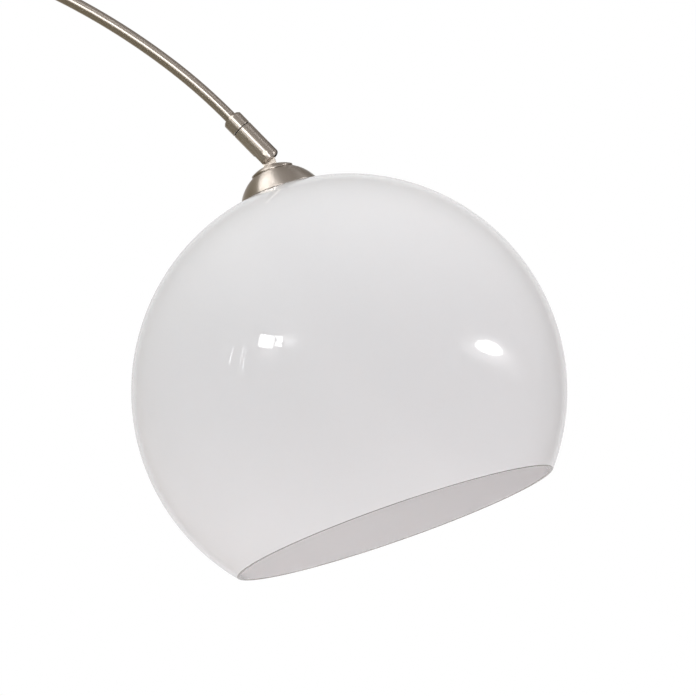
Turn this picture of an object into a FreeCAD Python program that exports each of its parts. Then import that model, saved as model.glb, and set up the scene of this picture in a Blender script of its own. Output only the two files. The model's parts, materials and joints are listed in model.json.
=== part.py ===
import FreeCAD, Part
import math
import os

import Sketcher
from FreeCAD import Placement, Rotation, Vector

# Arc floor lamp, in millimetres. The origin is on the column's axis, on the floor. +Z is up and
# the arm reaches out along +X, so the lamp is symmetric about the XZ plane except for small trim.
#
# Four local frames are used, each with its own Z axis along the piece's axis:
#   column frame   the lamp's own frame
#   arm frame      at a point on the arm's arc, Z along the arm towards the head
#   knuckle frame  at the tilt pivot, Z up the arm
#   head frame     at the centre of the shade's ball, Z towards the tilt pivot

DIMENSIONS = {
    # How far a cut runs past the solid that it cuts
    "cut_margin": 2,
    # Base
    "pad_radius": 163, "pad_height": 3,
    "weight_radius": 170, "weight_height": 24, "weight_edge_round": 4,
    "recess_radius": 20, "recess_height": 18,
    "channel_width": 11, "channel_height": 11,
    "cover_radius": 180, "cover_wall": 1.2, "cover_round": 9, "cover_foot_gap": 2,
    "gland_height": 8.5, "gland_bore_radius": 3.2, "gland_sleeve_radius": 4.9,
    "gland_flange_radius": 6.4, "gland_flange_height": 1.5, "gland_length": 11, "gland_fit_gap": 0.1,
    "stud_radius": 5, "stud_bore_radius": 3.5, "stud_foot_height": 14, "stud_top_height": 44,
    "stud_hole_gap": 0.3, "thread_gap": 0.05,
    "base_nut_across": 17, "base_nut_height": 5.4, "base_washer_radius": 15, "base_washer_height": 2,
    # Column
    "foot_ring_radius": 19, "foot_ring_height": 15, "foot_ring_floor": 2, "foot_ring_round": 3.5,
    "column_radius": 11, "column_wall": 1.5, "column_chamfer": 0.5, "column_slip_gap": 0.05,
    "column_joint_height": 662, "column_top_height": 1292,
    "plug_length": 15, "joiner_length": 60, "joiner_bore_radius": 5,
    # Sleeve, bush and clamp at the top of the column
    "sleeve_radius": 15.5, "sleeve_overlap": 24, "sleeve_height": 38, "sleeve_chamfer": 1.4,
    "sleeve_bore_radius": 10.5, "bush_slip_gap": 0.05, "bush_fit_gap": 0.05,
    "bush_flange_radius": 13, "bush_flange_height": 1.5,
    "clamp_height": 1311, "clamp_screw_radius": 3, "clamp_tip_gap": 0.15, "clamp_thread_gap": 0.05,
    "clamp_boss_radius": 7, "clamp_boss_reach": 19.5, "bush_screw_hole_radius": 3.4,
    "knob_radius": 13, "knob_length": 16, "knob_gap": 0.8, "knob_neck_radius": 6.5,
    "knob_neck_length": 5, "knob_round": 2, "knob_flute_radius": 3.4, "knob_flute_count": 8,
    "knob_screw_depth": 11, "clamp_screw_chamfer": 0.6,
    # Arm
    "arm_spring_height": 1402, "arm_leg_length": 330, "arm_radius": 590, "tip_radius": 470,
    "main_arc_angle": 128, "whole_arc_angle": 136,
    "root_tube_radius": 8, "mid_tube_radius": 6.5, "tip_tube_radius": 5,
    "arm_wall": 1.2, "tip_wall": 1,
    "root_end_angle": 58, "mid_start_angle": 50, "mid_end_angle": 99, "tip_start_angle": 92,
    "ferrule_wall": 1.7, "ferrule_grip": 15, "ferrule_neck": 8, "ferrule_neck_wall": 1.1,
    "ferrule_gap": 0.15, "ferrule_chamfer": 0.8,
    "ferrule_cone_length": 4.8, "ferrule_seat_height": 0.2,
    "grub_radius": 2, "grub_socket_radius": 0.95, "grub_socket_depth": 1.4, "grub_proud": 0.3,
    "foot_bush_radius": 9.4, "foot_bush_length": 20, "foot_bush_floor": 3,
    "foot_bush_bore_radius": 6, "foot_bush_gap": 0.1,
    "lead_radius": 1.9, "head_lead_top": 192.5, "lead_bend_radius": 5.2, "column_lead_top": 990,
    "lead_gland_gap": 1, "arm_lead_tail": 12,
    # Knuckle, along its own axis from the tilt pivot
    "knuckle_radius": 8.5, "knuckle_length": 41.4, "collar_length": 12.4, "collar_chamfer": 1.7,
    "collar_round": 2.2, "collar_socket_depth": 8.8, "collar_floor_gap": 0.2,
    "seam_gap": 0.1, "seam_height": 0.8, "seam_radius": 7.7, "seam_step": 0.3,
    "swivel_stud_radius": 4, "swivel_stud_bore_radius": 2.6, "swivel_fit_gap": 0.06,
    "swivel_head_radius": 6.2, "swivel_head_height": 2, "swivel_head_gap": 0.2,
    "swivel_screw_gap": 0.3,
    "swivel_web_bottom": 19.3, "swivel_well_radius": 6.6, "swivel_well_bottom": 15,
    "knuckle_end": 6.1, "knuckle_end_round": 2.8, "slot_width": 6.2, "slot_top": 5.7,
    "slot_wall": 2.4, "knuckle_passage_radius": 2.8,
    "pin_radius": 2, "pin_length": 16.2, "pin_fit_gap": 0.04,
    "tilt_washer_radius": 4.8, "tilt_washer_height": 0.5, "tilt_washer_gap": 0.04,
    # Head, along its own axis from the centre of the shade's ball
    "head_lean": 19.2, "pivot_height": 204.5,
    "tongue_thickness": 5, "tongue_radius": 5.4, "tongue_shoulder_height": 195,
    "tongue_foot_height": 194.5, "spigot_radius": 5, "spigot_bore_radius": 3.4,
    "spigot_foot_height": 182.2, "spigot_bore_top": 193.5,
    "small_cap_radius": 17.3, "small_cap_lip": 1.2, "small_cap_wall": 1, "small_cap_flat_radius": 6.2,
    "small_cap_crown_radius": 29,
    "dome_radius": 35.7, "dome_centre_height": 157.4, "dome_wall": 1.2,
    "dome_rim_height": 172.2, "dome_top_height": 189.1, "cap_hole_gap": 0.15,
    "nut_across": 14, "coupler_foot_height": 176, "upper_plate_radius": 27, "upper_plate_height": 2,
    "ball_radius": 175, "ball_wall": 2.5, "ball_cut_height": 113, "ball_hole_radius": 21,
    "gasket_gap": 0.3, "gasket_radius": 25.6, "gasket_height": 0.5, "gasket_top_height": 170.45,
    "lower_plate_radius": 26, "lower_plate_height": 2, "lock_nut_height": 4,
    "nipple_foot_height": 149, "nipple_top_height": 181.6, "nipple_bore_radius": 3.5,
    # Lamp holder (E27) and bulb
    "holder_radius": 20, "holder_wall": 1.8, "holder_top_height": 163.5, "holder_neck_radius": 9,
    "holder_seam_height": 141, "holder_foot_height": 100, "holder_cap_floor": 4,
    "holder_skirt": 4, "holder_crown_radius": 22,
    "holder_lap": 3.5, "holder_lap_gap": 0.1,
    "insert_radius": 17.9, "insert_foot_height": 127, "insert_top_height": 134,
    "screw_shell_radius": 13.7, "screw_shell_wall": 0.35, "screw_shell_foot_gap": 2,
    "contact_spring_radius": 4, "contact_spring_height": 1.6,
    "bulb_base_radius": 13.1, "bulb_base_wall": 0.4, "bulb_base_foot": 97, "bulb_base_top": 119,
    "bulb_shoulder_height": 3, "bulb_insulator_radius": 9, "bulb_insulator_gap": 0.1,
    "bulb_contact_radius": 4.5, "bulb_contact_rise": 0.6, "bulb_top_height": 125,
    "bulb_radius": 30, "bulb_centre_height": 51, "bulb_neck_radius": 12.6, "bulb_wall": 0.8,
    "bulb_neck_blend": 28, "bulb_neck_height": 104,
}

SHEET_NAME = "dims"
COLUMN_OF_NAMES = "A"
COLUMN_OF_VALUES = "B"

doc = FreeCAD.newDocument("arc_floor_lamp")
sheet = doc.addObject("Spreadsheet::Sheet", SHEET_NAME)
sub_parts = []


def fill_sheet():
    """Write every driving dimension to the sheet as a plain number with an alias."""
    for row, (alias, value) in enumerate(DIMENSIONS.items(), start=1):
        sheet.set(f"{COLUMN_OF_NAMES}{row}", alias)
        sheet.set(f"{COLUMN_OF_VALUES}{row}", str(value))
        sheet.setAlias(f"{COLUMN_OF_VALUES}{row}", alias)
    doc.recompute()


class Size:
    """A length or an angle in degrees that follows the sheet, kept as the text of an expression."""

    def __init__(self, text):
        self.text = f"({text})"

    @property
    def value(self):
        """The number that the expression gives now."""
        result = sheet.evalExpression(self.text)
        return float(getattr(result, "Value", result))

    def __add__(self, other):
        return Size(f"{self.text} + {as_size(other).text}")

    def __sub__(self, other):
        return Size(f"{self.text} - {as_size(other).text}")

    def __mul__(self, other):
        return Size(f"{self.text} * {as_size(other).text}")

    def __truediv__(self, other):
        return Size(f"{self.text} / {as_size(other).text}")

    def __radd__(self, other):
        return as_size(other) + self

    def __rsub__(self, other):
        return as_size(other) - self

    def __neg__(self):
        return 0 - self

    def __pow__(self, power):
        return Size(f"{self.text} ^ {power}")


def as_size(number):
    """A Size from a Size or a plain number."""
    return number if isinstance(number, Size) else Size(str(number))


def dim(alias):
    """The Size held by one cell of the sheet."""
    return Size(f"{SHEET_NAME}.{alias}")


def root(size):
    """Square root."""
    return Size(f"sqrt{size.text}")


def sine(angle):
    """Sine of an angle in degrees."""
    return Size(f"sin{as_size(angle).text}")


def cosine(angle):
    """Cosine of an angle in degrees."""
    return Size(f"cos{as_size(angle).text}")


def leg(hypotenuse, other):
    """The second short side of a right triangle."""
    return root(hypotenuse ** 2 - other ** 2)


# ---------------------------------------------------------------- local frames

class Frame:
    """A local frame in the XZ plane: its origin and its turn about +Y, in degrees."""

    def __init__(self, x=0, z=0, turn=0):
        self.x = as_size(x)
        self.z = as_size(z)
        self.turn = as_size(turn)

    def hold(self, thing):
        """Bind a document object's Placement to this frame."""
        thing.Placement = Placement(Vector(0, 0, 0), Rotation(Vector(0, 1, 0), 1))
        thing.setExpression("Placement.Rotation.Angle", self.turn.text)
        thing.setExpression("Placement.Base.x", self.x.text)
        thing.setExpression("Placement.Base.z", self.z.text)


def arm_frame(angle):
    """The frame on the arm's main arc, at an angle from where the arc leaves the vertical leg."""
    radius = dim("arm_radius")
    return Frame(radius - radius * cosine(angle),
                 dim("arm_spring_height") + radius * sine(angle), angle)


def arm_end():
    """X and Z of the end of the tip's arc, where the arm enters the collar."""
    corner = arm_frame(dim("main_arc_angle"))
    small = dim("tip_radius")
    start, end = dim("main_arc_angle"), dim("whole_arc_angle")
    return (corner.x + small * cosine(start) - small * cosine(end),
            corner.z - small * sine(start) + small * sine(end))


def knuckle_frame():
    """The frame at the tilt pivot, with Z up the arm."""
    x, z = arm_end()
    heading = dim("whole_arc_angle")
    length = dim("knuckle_length")
    return Frame(x + length * sine(heading), z + length * cosine(heading), heading - 180)


def head_frame():
    """The frame at the centre of the shade's ball, with Z towards the tilt pivot."""
    pivot = knuckle_frame()
    lean = dim("head_lean")
    height = dim("pivot_height")
    return Frame(pivot.x + height * sine(lean), pivot.z - height * cosine(lean), -lean)


COLUMN_FRAME = Frame()


# ---------------------------------------------------------------- sketches and features

class Corner:
    """A corner of an outline. A radius makes the side that ends here an arc.

    A positive radius bulges to the left of the way the outline runs, a negative one to the right.
    """

    def __init__(self, x, y, radius=None):
        self.x = as_size(x)
        self.y = as_size(y)
        self.radius = None if radius is None else as_size(radius)

    def point(self):
        """The corner's place on its sketch now."""
        return Vector(self.x.value, self.y.value, 0)


def new_body(label, frame=COLUMN_FRAME):
    """A PartDesign body with its own label and a bound placement, listed as a sub-part."""
    body = doc.addObject("PartDesign::Body", label)
    body.Label = label
    frame.hold(body)
    sub_parts.append(body)
    return body


def new_sketch(body, name, role):
    """A sketch on one of the body's own origin planes."""
    sketch = body.newObject("Sketcher::SketchObject", name)
    plane = [feature for feature in body.Origin.OriginFeatures if feature.Role == role][0]
    sketch.AttachmentSupport = [(plane, "")]
    sketch.MapMode = "FlatFace"
    return sketch


def raise_sketch(sketch, height):
    """Move a sketch along its plane's normal by a bound amount."""
    sketch.AttachmentOffset = Placement(Vector(0, 0, 1), Rotation())
    sketch.setExpression("AttachmentOffset.Base.z", as_size(height).text)


def bulged_arc(start, end, radius):
    """The arc under half a turn from start to end, bulging left for a positive radius."""
    chord = end - start
    left = Vector(-chord.y, chord.x, 0).normalize()
    side = 1 if radius > 0 else -1
    sagitta = abs(radius) - math.sqrt(max(radius ** 2 - (chord.Length / 2) ** 2, 0))
    return Part.Arc(start, (start + end) * 0.5 + left * side * sagitta, end)


def pin_point(sketch, edge, end, corner):
    """Bind one end of an edge to a corner's X and Y."""
    for kind, size in (("DistanceX", corner.x), ("DistanceY", corner.y)):
        index = sketch.addConstraint(Sketcher.Constraint(kind, edge, end, size.value))
        sketch.setExpression(f"Constraints[{index}]", size.text)


def draw_side(sketch, before, after):
    """Draw the side from one corner to the next, and bind its radius if it is an arc."""
    start, end = before.point(), after.point()
    if after.radius is None:
        return sketch.addGeometry(Part.LineSegment(start, end))
    edge = sketch.addGeometry(bulged_arc(start, end, after.radius.value))
    size = after.radius if after.radius.value > 0 else -after.radius
    index = sketch.addConstraint(Sketcher.Constraint("Radius", edge, size.value))
    sketch.setExpression(f"Constraints[{index}]", size.text)
    return edge


def side_ends(corner):
    """Which point numbers of the side that ends at a corner are its first and its last.

    A sketch's arc always runs anticlockwise, so one that bulges left is held back to front.
    """
    back_to_front = corner.radius is not None and corner.radius.value > 0
    return (2, 1) if back_to_front else (1, 2)


def draw_outline(sketch, corners):
    """Draw a closed outline whose corners are all bound to the sheet."""
    sides = [draw_side(sketch, corners[i - 1], corner) for i, corner in enumerate(corners)]
    ends = [side_ends(corner) for corner in corners]
    for i, corner in enumerate(corners):
        following = (i + 1) % len(corners)
        pin_point(sketch, sides[i], ends[i][1], corner)
        sketch.addConstraint(Sketcher.Constraint("Coincident", sides[i], ends[i][1],
                                                 sides[following], ends[following][0]))


def draw_circle(sketch, radius, x=0, y=0):
    """Draw a circle bound to the sheet."""
    centre = Corner(x, y)
    edge = sketch.addGeometry(Part.Circle(centre.point(), Vector(0, 0, 1), as_size(radius).value))
    index = sketch.addConstraint(Sketcher.Constraint("Radius", edge, as_size(radius).value))
    sketch.setExpression(f"Constraints[{index}]", as_size(radius).text)
    pin_point(sketch, edge, 3, centre)


def rectangle(x_low, y_low, x_high, y_high):
    """The four corners of an upright rectangle."""
    return [Corner(x_low, y_low), Corner(x_high, y_low), Corner(x_high, y_high), Corner(x_low, y_high)]


def add_feature(body, kind, name, sketch):
    """A PartDesign feature that reads one sketch."""
    feature = body.newObject(kind, name)
    feature.Profile = sketch
    sketch.Visibility = False
    return feature


def revolve(body, name, outlines, role="XZ_Plane", axis="V_Axis", cut=False):
    """Turn outlines of (radius, height) corners about an axis of their own sketch."""
    sketch = new_sketch(body, f"{name}_profile", role)
    for corners in outlines:
        draw_outline(sketch, corners)
    kind = "PartDesign::Groove" if cut else "PartDesign::Revolution"
    feature = add_feature(body, kind, name, sketch)
    feature.ReferenceAxis = (sketch, [axis])
    feature.Angle = 360
    return feature


def turned(label, corners, frame=COLUMN_FRAME):
    """A piece turned about its frame's Z axis from one closed outline."""
    body = new_body(label, frame)
    revolve(body, f"{label}_turning", [corners])
    return body


def extrude(body, name, sketch, length, cut=False, symmetric=False, backwards=False):
    """Pad or pocket a sketch by a bound length."""
    feature = add_feature(body, "PartDesign::Pocket" if cut else "PartDesign::Pad", name, sketch)
    feature.setExpression("Length", as_size(length).text)
    feature.SideType = "Symmetric" if symmetric else "One side"
    feature.Reversed = backwards
    return feature


def round_hole(body, name, role, radius, length, x=0, y=0, start=0, backwards=False, symmetric=False):
    """A straight round hole, cut from a plane of the body's own frame."""
    sketch = new_sketch(body, f"{name}_circle", role)
    raise_sketch(sketch, start)
    draw_circle(sketch, radius, x, y)
    return extrude(body, name, sketch, length, cut=True, backwards=backwards, symmetric=symmetric)


def tube_section(inner, outer, low, high):
    """Corners of a plain ring's section, (radius, height)."""
    return rectangle(inner, low, outer, high)


def hexagon(across):
    """Corners of a hexagon from its width across flats."""
    corner_radius = across / root(as_size(3))
    return [Corner(corner_radius * cosine(60 * k), corner_radius * sine(60 * k)) for k in range(6)]


def hex_nut(label, across, bore, low, height, frame=COLUMN_FRAME):
    """A hexagon nut with a plain bore."""
    body = new_body(label, frame)
    sketch = new_sketch(body, f"{label}_hexagon", "XY_Plane")
    raise_sketch(sketch, low)
    draw_outline(sketch, hexagon(across))
    draw_circle(sketch, bore)
    extrude(body, f"{label}_pad", sketch, height)
    return body


def arc_path(start, end, first=None, last=None):
    """Corners of a path along the arm: up the leg, round the main arc, round the tip, and on.

    start and end are angles on the arc; first and last are straight lengths before and after.
    """
    begin = arm_frame(start)
    corners = []
    if first is not None:
        corners.append(Corner(begin.x, begin.z - first))
    corners.append(Corner(begin.x, begin.z))
    whole, main = dim("whole_arc_angle").value, dim("main_arc_angle").value
    if as_size(end).value <= main:
        finish = arm_frame(end)
        corners.append(Corner(finish.x, finish.z, dim("arm_radius")))
        return corners
    for share in (0.5, 1):
        angle = start + (dim("main_arc_angle") - start) * share
        finish = arm_frame(angle)
        corners.append(Corner(finish.x, finish.z, dim("arm_radius")))
    x, z = arm_end()
    corners.append(Corner(x, z, dim("tip_radius")))
    if last is not None:
        heading = dim("whole_arc_angle")
        corners.append(Corner(x + last * sine(heading), z + last * cosine(heading)))
    return corners


def draw_path(sketch, corners):
    """Draw an open path whose corners are all bound to the sheet."""
    names = []
    for before, after in zip(corners, corners[1:]):
        edge = draw_side(sketch, before, after)
        first, last = side_ends(after)
        pin_point(sketch, edge, first, before)
        pin_point(sketch, edge, last, after)
        names.append(f"Edge{edge + 1}")
    return names


def piped(label, path, radii, start_frame):
    """A bar or tube of round section along a path in the XZ plane.

    radii holds the outer radius and, for a tube, the inner one. start_frame faces along the path.
    """
    body = new_body(label)
    ring = new_sketch(body, f"{label}_section", "XY_Plane")
    ring.AttachmentOffset = Placement(Vector(1, 0, 1), Rotation(Vector(0, 1, 0), 1))
    ring.setExpression("AttachmentOffset.Base.x", start_frame.x.text)
    ring.setExpression("AttachmentOffset.Base.z", start_frame.z.text)
    ring.setExpression("AttachmentOffset.Rotation.Angle", start_frame.turn.text)
    for radius in radii:
        draw_circle(ring, radius)
    route = new_sketch(body, f"{label}_route", "XZ_Plane")
    edges = draw_path(route, path)
    doc.recompute()
    pipe = add_feature(body, "PartDesign::AdditivePipe", f"{label}_pipe", ring)
    pipe.Spine = (route, edges)
    route.Visibility = False
    return body


# ---------------------------------------------------------------- base

def weight_top():
    """Height of the weight's top face."""
    return dim("pad_height") + dim("weight_height")


def cover_top():
    """Height of the cover's top face."""
    return weight_top() + dim("cover_wall")


def base_pad():
    """Soft disc stuck over the whole underside: the face that the lamp stands on."""
    turned("base_pad", rectangle(0, 0, dim("pad_radius"), dim("pad_height")))


def base_weight():
    """Cast disc with a recess for the nut and a channel for the lead, both from below."""
    outer, low, high = dim("weight_radius"), dim("pad_height"), weight_top()
    bore = dim("stud_radius") + dim("stud_hole_gap")
    bevel = dim("weight_edge_round")
    recess_top = low + dim("recess_height")
    body = turned("base_weight", [
        Corner(dim("recess_radius"), low), Corner(outer, low), Corner(outer, high - bevel),
        Corner(outer - bevel, high, -bevel), Corner(bore, high), Corner(bore, recess_top),
        Corner(dim("recess_radius"), recess_top)])
    sketch = new_sketch(body, "lead_channel_outline", "XY_Plane")
    raise_sketch(sketch, low)
    half = dim("channel_width") / 2
    draw_outline(sketch, rectangle(-outer - dim("cut_margin"), -half, 0, half))
    extrude(body, "lead_channel", sketch, dim("channel_height"), cut=True, backwards=True)


def base_cover():
    """Spun cover over the weight, open below, with a rounded shoulder and the lead's hole."""
    outer, wall, high = dim("cover_radius"), dim("cover_wall"), cover_top()
    low, bend = dim("cover_foot_gap"), dim("cover_round")
    bore = dim("stud_radius") + dim("stud_hole_gap")
    body = turned("base_cover", [
        Corner(outer - wall, low), Corner(outer, low), Corner(outer, high - bend),
        Corner(outer - bend, high, -bend), Corner(bore, high), Corner(bore, high - wall),
        Corner(outer - bend, high - wall), Corner(outer - wall, high - bend, bend - wall)])
    round_hole(body, "gland_hole", "YZ_Plane", dim("gland_sleeve_radius") + dim("gland_fit_gap"),
               dim("gland_length"), y=dim("gland_height"), start=-outer - wall, backwards=True)


def cord_gland():
    """Grommet in the cover's rear edge, with the through hole for the mains lead."""
    body = new_body("cord_gland", Frame(-dim("cover_radius"), dim("gland_height"), 90))
    flange, sleeve = dim("gland_flange_radius"), dim("gland_sleeve_radius")
    bore, thick = dim("gland_bore_radius"), dim("gland_flange_height")
    inner_end = dim("gland_length") - thick
    revolve(body, "gland_turning", [[
        Corner(bore, -thick), Corner(flange - thick / 2, -thick), Corner(flange, -thick / 2, -thick / 2),
        Corner(flange, 0), Corner(sleeve, 0), Corner(sleeve, inner_end),
        Corner(bore, inner_end)]])


def base_stud():
    """Hollow threaded stud that pulls the column down on the weight."""
    turned("base_stud", tube_section(dim("stud_bore_radius"), dim("stud_radius"),
                                     dim("stud_foot_height"), dim("stud_top_height")))


def washer_low():
    """Height of the washer's lower face."""
    return dim("pad_height") + dim("recess_height") - dim("base_washer_height")


def base_fasteners():
    """Washer and nut on the stud's lower end."""
    bore = dim("stud_radius") + dim("thread_gap")
    turned("base_washer", tube_section(bore, dim("base_washer_radius"), washer_low(),
                                       washer_low() + dim("base_washer_height")))
    height = dim("base_nut_height")
    hex_nut("base_nut", dim("base_nut_across"), bore, washer_low() - height, height)


# ---------------------------------------------------------------- column

def column_inner():
    """Bore radius of the column tubes."""
    return dim("column_radius") - dim("column_wall")


def column_foot():
    """Height of the column's lower end."""
    return cover_top() + dim("foot_ring_floor")


def foot_ring():
    """Turned ring that covers the column's foot."""
    outer, low, bend = dim("foot_ring_radius"), cover_top(), dim("foot_ring_round")
    high = low + dim("foot_ring_height")
    bore = dim("column_radius") + dim("column_slip_gap")
    hole = dim("stud_radius") + dim("stud_hole_gap")
    turned("foot_ring", [
        Corner(hole, low), Corner(outer, low), Corner(outer, high - bend),
        Corner(outer - bend, high, -bend), Corner(bore, high), Corner(bore, column_foot()),
        Corner(hole, column_foot())])


def column_tube(label, low, high):
    """One screwed section of the column, with its edges eased."""
    outer, inner, ease = dim("column_radius"), column_inner(), dim("column_chamfer")
    turned(label, [
        Corner(inner, low), Corner(outer - ease, low), Corner(outer, low + ease),
        Corner(outer, high - ease), Corner(outer - ease, high), Corner(inner, high)])


def column():
    """The two tubes, the foot plug that takes the stud, and the joiner between the tubes."""
    joint = dim("column_joint_height")
    column_tube("column_lower_tube", column_foot(), joint)
    column_tube("column_upper_tube", joint, dim("column_top_height"))
    outer = column_inner() - dim("column_slip_gap")
    turned("column_foot_plug", tube_section(dim("stud_radius") + dim("thread_gap"), outer,
                                            column_foot(), column_foot() + dim("plug_length")))
    half = dim("joiner_length") / 2
    turned("column_joiner", tube_section(dim("joiner_bore_radius"), outer, joint - half, joint + half))


def column_lead():
    """Internal lead from the gland, along the weight's channel and up the column."""
    level, bend = dim("gland_height"), dim("lead_bend_radius")
    start = dim("gland_length") - dim("gland_flange_height") + dim("lead_gland_gap") - dim("cover_radius")
    path = [Corner(start, level), Corner(-bend, level), Corner(0, level + bend, -bend),
            Corner(0, dim("column_lead_top"))]
    piped("column_lead", path, [dim("lead_radius")], Frame(start, level, 90))


# ---------------------------------------------------------------- sleeve, bush and clamp

def sleeve_top():
    """Height of the sleeve's upper end."""
    return dim("column_top_height") + dim("sleeve_height")


def top_sleeve():
    """Sleeve on the column's top end, with the threaded boss for the clamp screw."""
    outer, ease = dim("sleeve_radius"), dim("sleeve_chamfer")
    shoulder, high = dim("column_top_height"), sleeve_top()
    low = shoulder - dim("sleeve_overlap")
    slip = dim("column_radius") + dim("column_slip_gap")
    body = turned("top_sleeve", [
        Corner(slip, low), Corner(outer - ease, low), Corner(outer, low + ease),
        Corner(outer, high - ease), Corner(outer - ease, high), Corner(dim("sleeve_bore_radius"), high),
        Corner(dim("sleeve_bore_radius"), shoulder), Corner(slip, shoulder)])
    boss = new_sketch(body, "clamp_boss_circle", "YZ_Plane")
    wall_middle = (dim("sleeve_bore_radius") + outer) / 2
    raise_sketch(boss, -wall_middle)
    draw_circle(boss, dim("clamp_boss_radius"), 0, dim("clamp_height"))
    extrude(body, "clamp_boss", boss, dim("clamp_boss_reach") - wall_middle, backwards=True)
    round_hole(body, "clamp_screw_hole", "YZ_Plane", dim("clamp_screw_radius") + dim("clamp_thread_gap"),
               dim("clamp_boss_reach") + dim("cut_margin"), y=dim("clamp_height"))


def top_bush():
    """Nylon bush that the arm's leg slides and turns in."""
    low, high = dim("column_top_height"), sleeve_top()
    inner = dim("root_tube_radius") + dim("bush_fit_gap")
    outer = dim("sleeve_bore_radius") - dim("bush_slip_gap")
    flange, top = dim("bush_flange_radius"), high + dim("bush_flange_height")
    body = turned("top_bush", [
        Corner(inner, low), Corner(outer, low), Corner(outer, high), Corner(flange, high),
        Corner(flange, top), Corner(inner, top)])
    round_hole(body, "clamp_tip_hole", "YZ_Plane", dim("bush_screw_hole_radius"),
               outer + dim("cut_margin"), y=dim("clamp_height"))


def clamp_frame():
    """The frame of the clamp knob: origin on the column's axis, Z pointing out to the rear."""
    return Frame(0, dim("clamp_height"), -90)


def knob_start():
    """Distance of the knob's inner end from the column's axis."""
    return dim("clamp_boss_reach") + dim("knob_gap")


def clamp_screw():
    """Screw that presses on the arm's leg."""
    tip, end = dim("root_tube_radius") + dim("clamp_tip_gap"), knob_start() + dim("knob_screw_depth")
    radius, ease = dim("clamp_screw_radius"), dim("clamp_screw_chamfer")
    turned("clamp_screw", [
        Corner(0, tip), Corner(radius - ease, tip), Corner(radius, tip + ease), Corner(radius, end),
        Corner(0, end)], clamp_frame())


def clamp_knob():
    """Fluted hand knob moulded on the clamp screw."""
    low = knob_start()
    high, bend = low + dim("knob_length"), dim("knob_round")
    grip, neck = dim("knob_radius"), dim("knob_neck_radius")
    skirt = low + dim("knob_neck_length")
    screw, screw_end = dim("clamp_screw_radius"), low + dim("knob_screw_depth")
    body = new_body("clamp_knob", clamp_frame())
    revolve(body, "clamp_knob_turning", [[
        Corner(screw, low), Corner(neck, low), Corner(neck, skirt), Corner(grip, skirt),
        Corner(grip, high - bend), Corner(grip - bend, high, -bend), Corner(0, high),
        Corner(0, screw_end), Corner(screw, screw_end)]])
    flute = new_sketch(body, "flute_circle", "XY_Plane")
    raise_sketch(flute, skirt - dim("cut_margin"))
    draw_circle(flute, dim("knob_flute_radius"), grip + dim("knob_flute_radius") / 2)
    cut = extrude(body, "flute", flute, dim("knob_length"), cut=True, backwards=True)
    pattern = body.newObject("PartDesign::PolarPattern", "flutes")
    pattern.Originals = [cut]
    pattern.Axis = (flute, ["N_Axis"])
    pattern.Angle = 360
    pattern.setExpression("Occurrences", dim("knob_flute_count").text)
    body.Tip = pattern


# ---------------------------------------------------------------- arm

def arm_foot_bush():
    """Bush under the leg that guides it inside the column and stops it at the top bush."""
    low = dim("arm_spring_height") - dim("arm_leg_length") - dim("foot_bush_floor")
    high, shoulder = low + dim("foot_bush_length"), low + dim("foot_bush_floor") - dim("foot_bush_gap")
    hole, outer = dim("foot_bush_bore_radius"), dim("foot_bush_radius")
    seat = dim("root_tube_radius") + dim("bush_fit_gap")
    turned("arm_foot_bush", [
        Corner(hole, low), Corner(outer, low), Corner(outer, high), Corner(seat, high),
        Corner(seat, shoulder), Corner(hole, shoulder)])


def arm_tubes():
    """Three nested tubes that share the arm's arc, each thinner than the one before."""
    wall, length = dim("arm_wall"), dim("arm_leg_length")
    root_outer, mid_outer, tip_outer = dim("root_tube_radius"), dim("mid_tube_radius"), dim("tip_tube_radius")
    spring = arm_frame(0)
    piped("arm_root_tube", arc_path(0, dim("root_end_angle"), first=length),
          [root_outer, root_outer - wall], Frame(spring.x, spring.z - length, 0))
    start = dim("mid_start_angle")
    piped("arm_mid_tube", arc_path(start, dim("mid_end_angle")), [mid_outer, mid_outer - wall],
          arm_frame(start))
    start = dim("tip_start_angle")
    piped("arm_tip_tube", arc_path(start, dim("whole_arc_angle"), last=dim("collar_socket_depth")),
          [tip_outer, tip_outer - dim("tip_wall")], arm_frame(start))


def arm_lead():
    """Internal lead through the whole arm, down to the swivel's hollow screw."""
    tail = dim("arm_leg_length") + dim("arm_lead_tail")
    spring = arm_frame(0)
    reach = dim("knuckle_length") - dim("swivel_web_bottom")
    piped("arm_lead", arc_path(0, dim("whole_arc_angle"), first=tail, last=reach),
          [dim("lead_radius")], Frame(spring.x, spring.z - tail, 0))


def ferrule(label, angle, outer, inner):
    """Turned ferrule where one tube of the arm ends and the next, thinner one comes out."""
    grip, neck, gap = dim("ferrule_grip"), dim("ferrule_neck"), dim("ferrule_gap")
    wide, slim = outer + dim("ferrule_wall"), inner + dim("ferrule_neck_wall")
    ease, cone, seat = dim("ferrule_chamfer"), dim("ferrule_cone_length"), dim("ferrule_seat_height")
    body = turned(label, [
        Corner(outer + gap, -grip), Corner(wide - ease, -grip), Corner(wide, ease - grip),
        Corner(wide, 0), Corner(slim, cone), Corner(slim, neck), Corner(inner + gap, neck),
        Corner(inner + gap, seat), Corner(outer + gap, seat)], arm_frame(angle))
    round_hole(body, f"{label}_screw_hole", "YZ_Plane", dim("grub_radius") + dim("thread_gap"),
               wide + dim("cut_margin"), y=-grip / 2, backwards=True)


def arm_ferrules():
    """The lower and the upper ferrule."""
    ferrule("arm_ferrule_lower", dim("root_end_angle"), dim("root_tube_radius"), dim("mid_tube_radius"))
    ferrule("arm_ferrule_upper", dim("mid_end_angle"), dim("mid_tube_radius"), dim("tip_tube_radius"))


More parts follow.
